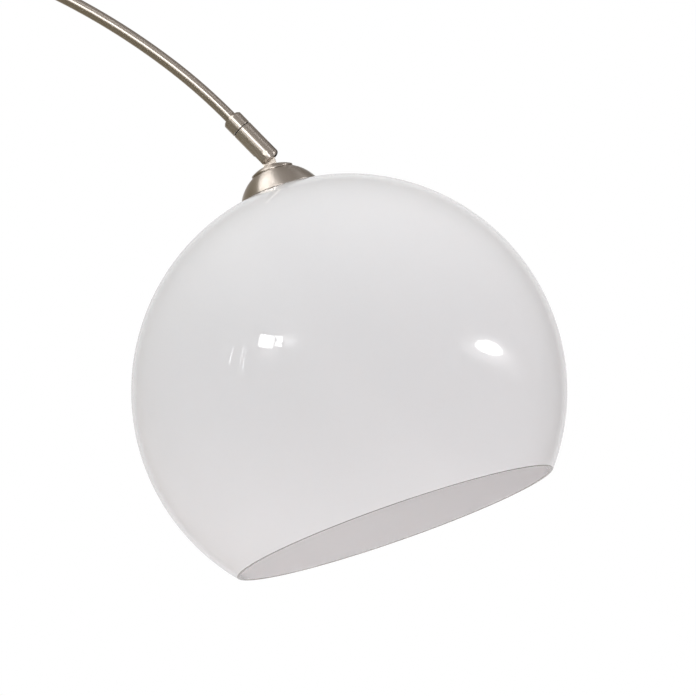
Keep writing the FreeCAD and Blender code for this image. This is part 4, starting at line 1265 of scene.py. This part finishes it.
@dataclass
class Swivel(SubAssembly):
    """The swivelling half of the knuckle. Sizes in millimetres."""

    washer: tuple[float, float, float, float] = (28.2, 28.9, 4.06, 7.7)

    def build(self) -> None:
        """Build the slotted body and its dark washer."""
        piece = softened_copy("slotted_swivel_body", "swivel_body", KNUCKLE, 0.18 * MM)
        self.settle(piece, SLOT_SHADED_NICKEL, "swivel_body")
        self.carry("seam_washer", ring_section(*self.washer, 0.1), KNUCKLE, RUBBER, "swivel_washer")


@dataclass
class Head(SubAssembly):
    """Tongue, caps, shade, lamp holder and bulb. Sizes in millimetres from the ball's centre."""

    ball_wall: float = 2.5
    mouth: float = -113.0
    mouth_round: float = 0.7
    neck_hole: float = 21.0
    dome_radius: float = 35.7
    dome_centre: float = 157.4
    dome_rim: float = 172.2
    dome_top: float = 189.1
    dome_wall: float = 1.2
    cap_radius: float = 17.3
    cap_lip: float = 1.2
    cap_wall: float = 1.0
    cap_crown: float = 29.0
    cap_flat: float = 6.2
    cap_top: float = 194.5
    spigot_hole: float = 5.15
    holder_radius: float = 20.0
    holder_foot: float = 100.0
    holder_seam: float = 141.0
    holder_top: float = 163.5
    holder_bore: float = 16.3
    ribs: int = 36
    rib_depth: float = 0.6
    plain_band: float = 5.0
    bulb_radius: float = 30.0
    bulb_centre: float = 51.0
    bulb_neck: float = 12.6
    bulb_blend: float = 28.0
    bulb_wall: float = 0.8
    bulb_top: float = 104.0
    base_radius: float = 13.1
    base_foot: float = 97.0
    base_top: float = 119.0
    thread_pitch: float = 3.6
    thread_depth: float = 0.55

    def build(self) -> None:
        """Build the head from the tongue down."""
        self.settle(softened_copy("flat_tilt_tongue", "tilt_tongue", HEAD, 0.3 * MM), SATIN_NICKEL,
                    "tilt_tongue")
        self.small_cap()
        self.dome_cap()
        self.shade()
        self.holder()
        self.bulb_glass()
        self.bulb_base()

    def small_cap(self) -> None:
        """Shallow cap with a rolled lip standing on the dome's shoulder."""
        low, lip, top = (v * MM for v in (self.dome_top, self.dome_top + self.cap_lip, self.cap_top))
        outer, wall, flat = (v * MM for v in (self.cap_radius, self.cap_wall, self.cap_flat))
        hole = self.spigot_hole * MM
        section = Section(0.3 * MM, 4)
        section.to(low, outer - wall).to(low, outer, 0.35 * MM).to(lip, outer, 0.4 * MM)
        self.crown(section, (lip, outer), (top, flat))
        section.to(top, hole, 0.1 * MM).to(top - wall, hole, 0.1 * MM)
        self.crown(section, (top - wall, flat), (lip - wall / 2, outer - wall))
        self.carry("small_spun_cap", section.points(), HEAD, SATIN_NICKEL, "small_cap", 112, 1.2)

    def crown(self, section: Section, start: tuple[float, float], end: tuple[float, float]) -> None:
        """Add the cap's crown: a parabola between two points, with an arc's rise in its middle.

        Args:
            section: the outline to add to.
            start: (s, r) where it starts, in metres.
            end: (s, r) where it ends.
        """
        chord = np.array(end) - np.array(start)
        length = float(np.linalg.norm(chord))
        side = np.array([abs(chord[1]), abs(chord[0])]) / length
        radius = self.cap_crown * MM
        rise = radius - math.sqrt(radius ** 2 - (length / 2) ** 2)
        for t in np.linspace(0, 1, 14):
            s, r = np.array(start) + chord * t + side * rise * 4 * t * (1 - t)
            section.to(float(s), float(r), 0.0)

    def dome_cap(self) -> None:
        """Spun dome: a ball segment from its rim to a flat top, with a thin rolled edge."""
        centre, outer, wall = (v * MM for v in (self.dome_centre, self.dome_radius, self.dome_wall))
        rim, top, hole = (v * MM for v in (self.dome_rim, self.dome_top, self.spigot_hole))
        inner = outer - wall
        section = Section()
        section.bow(centre, outer, math.acos((rim - centre) / outer), math.acos((top - centre) / outer), 40)
        section.to(top, hole, 0.1 * MM).to(top - wall, hole, 0.1 * MM)
        section.bow(centre, inner, math.acos((top - wall - centre) / inner),
                    math.acos((rim - centre) / inner), 40)
        self.carry("spun_dome_cap", section.points(), HEAD, SATIN_NICKEL, "dome_cap", 160, 2.0)

    def shade(self) -> None:
        """Opal ball: outer and inner spheres joined by a flame-polished mouth and the neck hole.

        The outer surface is r = R sin a, s = R cos a. Across the mouth the wall is flat, with both
        of its corners rounded off.
        """
        outer, inner = BALL_RADIUS, BALL_RADIUS - self.ball_wall * MM
        neck, mouth, back = self.neck_hole * MM, self.mouth * MM, self.mouth_round * MM
        above, beside, short = 0.15 * MM, 0.02 * MM, 0.004
        edge_out, edge_in = (math.sqrt(radius ** 2 - mouth ** 2) for radius in (outer, inner))
        section = Section(0.3 * MM)
        section.bow(0.0, outer, math.asin(neck / outer), math.acos(mouth / outer) - short, 150)
        for s, r in ((mouth + above, edge_out + beside), (mouth, edge_out - back),
                     (mouth, (edge_out + edge_in) / 2), (mouth, edge_in + back),
                     (mouth + above, edge_in + beside)):
            section.to(s, r, 0.0)
        section.bow(0.0, inner, math.acos(mouth / inner) - short, math.asin(neck / inner), 150)
        self.carry("opal_ball", section.points(), HEAD, OPAL, "shade", 224, 4.0)

    def holder(self) -> None:
        """Lamp holder: ribbed lower body and a domed cap that screws to it."""
        outer, foot, seam, top = self.holder_radius, self.holder_foot, self.holder_seam, self.holder_top
        bore, band_end = self.holder_bore, self.plain_band
        body = ((foot, bore, 0.4), (foot, outer, 0.8), (seam - 0.1, outer, 0.3), (seam - 0.1, 18.1, 0.1),
                (seam + 3.5, 18.1, 0.2), (seam + 3.5, bore, 0.2))
        cap = ((seam, 18.2, 0.2), (seam, outer, 0.4), (seam + 4.0, outer, 2.5), (seam + 12.5, 17.6, 8.0),
               (top - 2.6, 12.2, 4.0), (top, 9.0, 0.8), (top, 5.05, 0.2), (top - 4.0, 5.05, 0.2),
               (top - 4.0, 7.2, 0.5), (seam + 11.5, 15.8, 6.0), (seam + 4.0, 18.2, 1.5))

        def ribbed(s: np.ndarray, r: np.ndarray, angle: np.ndarray) -> np.ndarray:
            """Press grip ribs into the outer wall between its two plain bands."""
            band = fade(s / MM, foot + band_end, 1.0) * fade(-s / MM, band_end - seam, 1.0)
            return r - self.rib_depth * MM * band * (r > (outer - 0.5) * MM) * wave(self.ribs * angle) ** 2

        outline = outlined(body, steps=4)
        self.carry("ribbed_holder_body", outline, HEAD, HOLDER_PLASTIC, "holder_body", 288, 2.0, ribbed)
        self.carry("domed_holder_cap", outlined(cap, steps=4), HEAD, HOLDER_PLASTIC, "holder_cap", 96, 2.0)

    def bulb_glass(self) -> None:
        """Bulb glass: a ball, then a hollow arc tangent to it that narrows to the neck."""
        radius, centre, neck, blend = self.bulb_radius, self.bulb_centre, self.bulb_neck, self.bulb_blend
        far = math.sqrt((radius + blend) ** 2 - (neck + blend) ** 2)
        meet = math.atan2(neck + blend, far)
        section = Section(0.2 * MM)
        for offset, outside in ((0.0, True), (self.bulb_wall, False)):
            rows = [(centre * MM, (radius - offset) * MM, math.pi, meet, 48, 0.0),
                    ((centre + far) * MM, (blend + offset) * MM, meet - math.pi, -math.pi / 2, 16,
                     (neck + blend) * MM)]
            if outside:
                for s, r, start, end, count, middle in rows:
                    section.bow(s, r, start, end, count, middle)
                for edge in (neck, neck - self.bulb_wall):
                    section.to(self.bulb_top * MM, edge * MM)
            else:
                for s, r, start, end, count, middle in reversed(rows):
                    section.bow(s, r, end, start, count, middle)
        outline = section.points()
        outline[:, 1] = np.maximum(outline[:, 1], 0.0)
        self.carry("bulb_glass_body", outline, HEAD, BULB_OPAL, "bulb_glass", 96, 3.0)

    def bulb_base(self) -> None:
        """Screw base with its rolled thread: the radius waves once for each pitch and each turn."""
        foot, top, outer = self.base_foot, self.base_top, self.base_radius
        inner = outer - 0.4
        rows = ((foot, inner, 0.1), (foot, outer, 0.15), (top, outer, 0.8), (top + 3.0, 9.1, 0.4),
                (top + 2.6, 9.1, 0.1), (top - 0.4, inner, 0.6))

        def rolled(s: np.ndarray, r: np.ndarray, angle: np.ndarray) -> np.ndarray:
            """Roll the thread into the straight wall, fading out at both ends."""
            share = fade(s / MM, foot + 2.0, 2.0) * fade(-s / MM, 0.5 - top, 1.5)
            return r - self.thread_depth * MM * share * wave(TURN * s / (self.thread_pitch * MM) - angle)

        self.carry("rolled_bulb_base", outlined(rows), HEAD, BULB_ALUMINIUM, "bulb_base", 64, 0.5, rolled)


def dress_hidden_nodes() -> None:
    """Give every node that still shows the full material of its own slot."""
    finishes = {finish.slot: finish for finish in ALL_FINISHES}
    turned = {"satin_nickel": BrushedMetal("satin_nickel_small", turned=False)}
    slots = {entry["node"]: entry["material_slot"] for entry in frame["record"]["subparts"]}
    for name, node in frame["nodes"].items():
        if node.hide_render:
            continue
        finish = turned.get(slots[name]) or finishes[slots[name]]
        material = finish.material()
        for place in node.material_slots:
            place.material = material
        LOG.info("kept node: %s, %s", name, slots[name])


# ---------------------------------------------------------------- studio

class PanelShape(Enum):
    """Outline of a bright panel in the room."""

    BOX = "box"
    OVAL = "oval"


@dataclass(frozen=True)
class Panel:
    """A bright panel of the room, placed by angles from the ball, in degrees.

    rightward turns from the camera's side to its right and upward lifts from level; width, height
    and roll give the panel's outline, and blur is the soft part of its edge as a share of it. A panel
    that is metal_only is flagged off the opal ball, which would mirror it.
    """

    name: str
    rightward: float
    upward: float
    width: float
    height: float
    radiance: float
    roll: float = 0.0
    blur: float = 0.1
    shape: PanelShape = PanelShape.BOX
    metal_only: bool = False


@dataclass
class Studio:
    """Camera, lights, floor and surroundings."""

    azimuth: float = math.radians(6.0)
    elevation: float = math.radians(-6.2)
    distance: float = 5.3
    view_width: float = 0.5587
    sensor: float = 36.0
    rise: float = 0.0348
    sideways: float = -0.001
    floor_size: float = 14.0
    lamp_distance: float = 2.6
    flagged: list[bpy.types.Object] = field(default_factory=list)
    spotlit: tuple[Panel, ...] = (
        Panel("window pane wide", -45.9, 23.7, 8.2, 6.2, 12.0),
        Panel("window pane narrow", -38.6, 24.4, 3.8, 5.2, 9.0),
        Panel("side softbox", 80.4, 17.2, 17.5, 5.8, 9.0, roll=-16.0, shape=PanelShape.OVAL),
        Panel("arm strip", 8.5, 8.0, 8.0, 76.0, 8.0, roll=44.0, metal_only=True),
        Panel("dome streak", -95.0, 53.6, 6.0, 30.0, 14.0, metal_only=True),
    )
    glowing: tuple[Panel, ...] = (
        Panel("window glow", -34.5, 25.6, 8.0, 5.6, 3.5, blur=0.7, shape=PanelShape.OVAL),
        Panel("window fall", -44.5, 19.0, 9.0, 6.0, 1.6, blur=0.6),
        Panel("strip far", -67.2, 15.6, 0.7, 6.0, 9.0, blur=0.4),
        Panel("strip left", -60.6, 14.8, 0.6, 10.0, 6.0, blur=0.4),
        Panel("strip right", -58.4, 14.8, 0.6, 8.5, 7.5, blur=0.4),
        Panel("side softbox halo", 80.7, 17.0, 24.0, 9.0, 3.5, roll=-14.0, blur=0.55,
              shape=PanelShape.OVAL),
        Panel("side fall", 91.0, 12.0, 20.0, 9.0, 1.3, roll=-22.0, blur=0.8, shape=PanelShape.OVAL),
    )

    sky_warm: Colour = (0.92, 0.895, 0.91)
    sky_cool: Colour = (0.99, 0.995, 1.0)
    under_shade: Colour = (0.24, 0.215, 0.225)
    floor_glow: Colour = (2.50, 2.42, 2.42)
    wall_low: Colour = (0.55, 0.51, 0.46)
    wall_high: Colour = (0.08, 0.07, 0.055)
    wall_back: Colour = (0.72, 0.71, 0.71)
    bands: tuple[tuple[float, Colour], ...] = (
        (0.0, (0.24, 0.21, 0.15)), (0.20, (0.20, 0.175, 0.125)), (0.33, (0.27, 0.24, 0.18)),
        (0.42, (0.44, 0.40, 0.345)), (0.55, (0.66, 0.61, 0.55)), (0.62, (0.46, 0.42, 0.39)),
        (0.67, (0.27, 0.25, 0.23)), (0.72, (0.42, 0.39, 0.36)), (0.77, (0.29, 0.27, 0.25)),
        (0.84, (0.43, 0.40, 0.37)), (0.93, (0.34, 0.31, 0.29)), (1.0, (0.20, 0.18, 0.165)))

    def build(self) -> None:
        """Build everything that isn't part of the lamp."""
        self.camera()
        for panel in self.spotlit:
            self.light(panel)
        self.floor()
        self.surroundings()
        settings = bpy.context.scene.view_settings
        settings.view_transform = "Standard"
        settings.look = "None"

    @property
    def towards_camera(self) -> np.ndarray:
        """Direction from the ball to the camera."""
        flat = math.cos(self.elevation)
        return np.array([flat * math.sin(self.azimuth), -flat * math.cos(self.azimuth),
                         math.sin(self.elevation)])

    @property
    def right(self) -> np.ndarray:
        """The camera's right."""
        return np.array([math.cos(self.azimuth), math.sin(self.azimuth), 0.0])

    @property
    def up(self) -> np.ndarray:
        """The camera's up."""
        return np.cross(self.towards_camera, self.right)

    def panel_axes(self, panel: Panel) -> tuple[np.ndarray, np.ndarray, np.ndarray]:
        """Work out where a panel is and how it lies.

        Args:
            panel: the panel.

        Returns:
            The direction of its middle, of its width and of its height.
        """
        side, lift, roll = (math.radians(v) for v in (panel.rightward, panel.upward, panel.roll))
        middle = (math.cos(lift) * (math.sin(side) * self.right + math.cos(side) * self.towards_camera)
                  + math.sin(lift) * self.up)
        level = unit(np.cross(self.up, middle))
        rise = np.cross(middle, level)
        return (middle, math.cos(roll) * level + math.sin(roll) * rise,
                math.cos(roll) * rise - math.sin(roll) * level)

    def camera(self) -> None:
        """A long lens aimed just above the ball."""
        data = bpy.data.cameras.new("camera")
        data.sensor_width = self.sensor
        data.lens = self.sensor * self.distance / self.view_width
        data.clip_end = 100.0
        camera = bpy.data.objects.new("camera", data)
        bpy.context.scene.collection.objects.link(camera)
        aim = BALL_CENTRE + self.up * self.rise + self.right * self.sideways
        camera.matrix_world = self.standing(aim + self.towards_camera * self.distance, self.right, self.up)
        bpy.context.scene.camera = camera

    @staticmethod
    def standing(place: np.ndarray, across: np.ndarray, upright: np.ndarray) -> Matrix:
        """Place something that looks along its own -Z.

        Args:
            place: where it stands.
            across: its X direction.
            upright: its Y direction.

        Returns:
            Its matrix.
        """
        turn = Matrix((Vector(across), Vector(upright), Vector(np.cross(across, upright)))).transposed()
        return Matrix.Translation(Vector(place)) @ turn.to_4x4()

    def light(self, panel: Panel) -> None:
        """Hang a hard-edged panel as a light that glossy surfaces mirror.

        Args:
            panel: the panel to hang.
        """
        middle, level, rise = self.panel_axes(panel)
        data = bpy.data.lights.new(panel.name, "AREA")
        data.shape = "ELLIPSE" if panel.shape is PanelShape.OVAL else "RECTANGLE"
        data.size, data.size_y = (2 * self.lamp_distance * math.tan(math.radians(degrees / 2))
                                  for degrees in (panel.width, panel.height))
        share = math.pi / 4 if panel.shape is PanelShape.OVAL else 1.0
        data.energy = panel.radiance * math.pi * share * data.size * data.size_y
        light = bpy.data.objects.new(panel.name, data)
        light.visible_camera = False
        light.visible_diffuse = False
        bpy.context.scene.collection.objects.link(light)
        light.matrix_world = self.standing(BALL_CENTRE + middle * self.lamp_distance, level, rise)
        if panel.metal_only:
            self.flagged.append(light)

    def keep_off(self, piece: bpy.types.Object) -> None:
        """Flag the metal's own lights off a piece.

        Args:
            piece: the piece that they leave out.
        """
        spared = bpy.data.collections.new("flagged off")
        spared.objects.link(piece)
        spared.collection_objects[0].light_linking.link_state = "EXCLUDE"
        for light in self.flagged:
            light.light_linking.receiver_collection = spared

    def floor(self) -> None:
        """A plain pale floor at the lamp's foot."""
        half = self.floor_size / 2
        corners = [(x * half, y * half, 0.0) for x, y in ((-1, -1), (1, -1), (1, 1), (-1, 1))]
        mesh = bpy.data.meshes.new("floor")
        mesh.from_pydata(corners, [], [(0, 1, 2, 3)])
        floor = bpy.data.objects.new("floor", mesh)
        bpy.context.scene.collection.objects.link(floor)
        floor.data.materials.append(FLOOR.material())
        floor.visible_diffuse = False
        floor.visible_glossy = False

    def surroundings(self) -> None:
        """White to the eye, a soft even light on surfaces, and a room with panels in reflections."""
        world = bpy.data.worlds.new("studio")
        world.use_nodes = True
        world.cycles.sampling_method = "NONE"
        bpy.context.scene.world = world
        canvas = Canvas(world.node_tree)
        world.node_tree.nodes.clear()
        path = canvas.add("ShaderNodeLightPath")
        coordinates = canvas.add("ShaderNodeTexCoord").outputs["Generated"]
        soft, mirror, seen = (canvas.add("ShaderNodeBackground") for _ in range(3))
        canvas.feed(soft.inputs["Color"], self.sky(canvas, coordinates))
        canvas.feed(mirror.inputs["Color"], self.room(canvas, coordinates))
        canvas.feed(seen.inputs["Color"], (1.0, 1.0, 1.0))
        glossy = self.choose(canvas, path.outputs["Is Glossy Ray"], soft, mirror)
        final = self.choose(canvas, path.outputs["Is Camera Ray"], glossy, seen)
        output = canvas.add("ShaderNodeOutputWorld")
        canvas.join(final.outputs[0], output.inputs["Surface"])

    @staticmethod
    def choose(canvas: Canvas, factor: bpy.types.NodeSocket, first: bpy.types.Node,
               second: bpy.types.Node) -> bpy.types.Node:
        """Mix two shaders by a factor.

        Args:
            canvas: the world's canvas.
            factor: 0 for the first, 1 for the second.
            first: one shader node.
            second: the other.

        Returns:
            The mixing node.
        """
        node = canvas.add("ShaderNodeMixShader")
        canvas.join(factor, node.inputs[0])
        canvas.join(first.outputs[0], node.inputs[1])
        canvas.join(second.outputs[0], node.inputs[2])
        return node

    def sky(self, canvas: Canvas, coordinates: bpy.types.NodeSocket) -> bpy.types.NodeSocket:
        """A soft fall from a cool upper left to a warmer lower right, over a floor that glows back.

        Args:
            canvas: the world's canvas.
            coordinates: the view direction.

        Returns:
            The colour of the light on surfaces.
        """
        lead = canvas.along(coordinates, unit(self.up * 0.7 - self.right * 0.7))
        even = canvas.blend(canvas.span(lead, 0.0, 1.0, -0.8, 0.9), self.sky_warm, self.sky_cool)
        below = canvas.along(coordinates, -COLUMN.along)
        shaded = canvas.blend(canvas.span(below, 0.0, 1.0, 0.26, 0.6), even, self.under_shade)
        return canvas.blend(canvas.span(below, 0.0, 1.0, 0.76, 0.97), shaded, self.floor_glow)

    def room(self, canvas: Canvas, coordinates: bpy.types.NodeSocket) -> bpy.types.NodeSocket:
        """What shiny surfaces mirror: bands from a dark lower left to a pale upper right, with panels.

        Args:
            canvas: the world's canvas.
            coordinates: the view direction.

        Returns:
            The colour of the room.
        """
        slant = unit(self.right * 0.72 + self.up * 0.69)
        ramp = canvas.add("ShaderNodeValToRGB")
        place = canvas.span(canvas.along(coordinates, slant), 0.0, 1.0, -1.0, 1.0)
        canvas.join(place, ramp.inputs["Fac"])
        points = ramp.color_ramp.elements
        for position, colour in self.bands[1:-1]:
            points.new(position).color = (*colour, 1.0)
        points[0].color, points[-1].color = (*self.bands[0][1], 1.0), (*self.bands[-1][1], 1.0)
        front = canvas.along(coordinates, self.towards_camera)
        wall = canvas.blend(place, self.wall_low, self.wall_high)
        total = canvas.blend(canvas.span(front, 1.0, 0.0, -0.8, -0.45), ramp.outputs["Color"], wall)
        total = canvas.blend(canvas.span(front, 1.0, 0.0, -0.95, -0.86), total, self.wall_back)
        for panel in self.glowing:
            total = self.add_panel(canvas, coordinates, total, panel)
        return total

    def add_panel(self, canvas: Canvas, coordinates: bpy.types.NodeSocket, under: bpy.types.NodeSocket,
                  panel: Panel) -> bpy.types.NodeSocket:
        """Add a soft-edged panel's light to the room.

        With a and b the panel's own coordinates over its half sizes, its mask falls from one to
        nothing where max(|a|, |b|), or for an oval the length of (a, b), passes one.

        Args:
            canvas: the world's canvas.
            coordinates: the view direction.
            under: the room's colour so far.
            panel: the panel to add.

        Returns:
            The room's colour with the panel.
        """
        middle, level, rise = self.panel_axes(panel)
        a, b = (canvas.maths("DIVIDE", canvas.along(coordinates, way), math.sin(math.radians(size / 2)))
                for way, size in ((level, panel.width), (rise, panel.height)))
        if panel.shape is PanelShape.OVAL:
            squares = canvas.maths("ADD", canvas.maths("MULTIPLY", a, a), canvas.maths("MULTIPLY", b, b))
            reach = canvas.maths("SQRT", squares)
        else:
            reach = canvas.maths("MAXIMUM", canvas.maths("ABSOLUTE", a), canvas.maths("ABSOLUTE", b))
        mask = canvas.span(reach, 1.0, 0.0, 1.0 - panel.blur, 1.0 + panel.blur)
        ahead = canvas.maths("GREATER_THAN", canvas.along(coordinates, middle), 0.0)
        light = canvas.maths("MULTIPLY", canvas.maths("MULTIPLY", mask, ahead), panel.radiance)
        node = canvas.add("ShaderNodeMix", data_type="RGBA", blend_type="ADD")
        node.inputs["Factor"].default_value = 1.0
        for target, colour in zip(node.inputs[MIX_COLOURS], (under, light)):
            canvas.join(colour, target)
        return node.outputs[MIX_RESULT]


# ---------------------------------------------------------------- the whole lamp

def main() -> None:
    """Build the studio and every sub-assembly."""
    logging.basicConfig(level=logging.INFO, format="%(name)s: %(message)s")
    studio = Studio()
    studio.build()
    groups: tuple[SubAssembly, ...] = (
        Stand("stand"), ClampKnob("clamp"), Arm("arm"), Swivel("swivel"), Head("head"))
    for group in groups:
        group.build()
    studio.keep_off(bpy.data.objects["opal_ball"])
    dress_hidden_nodes()


if __name__ == "__main__":
    main()
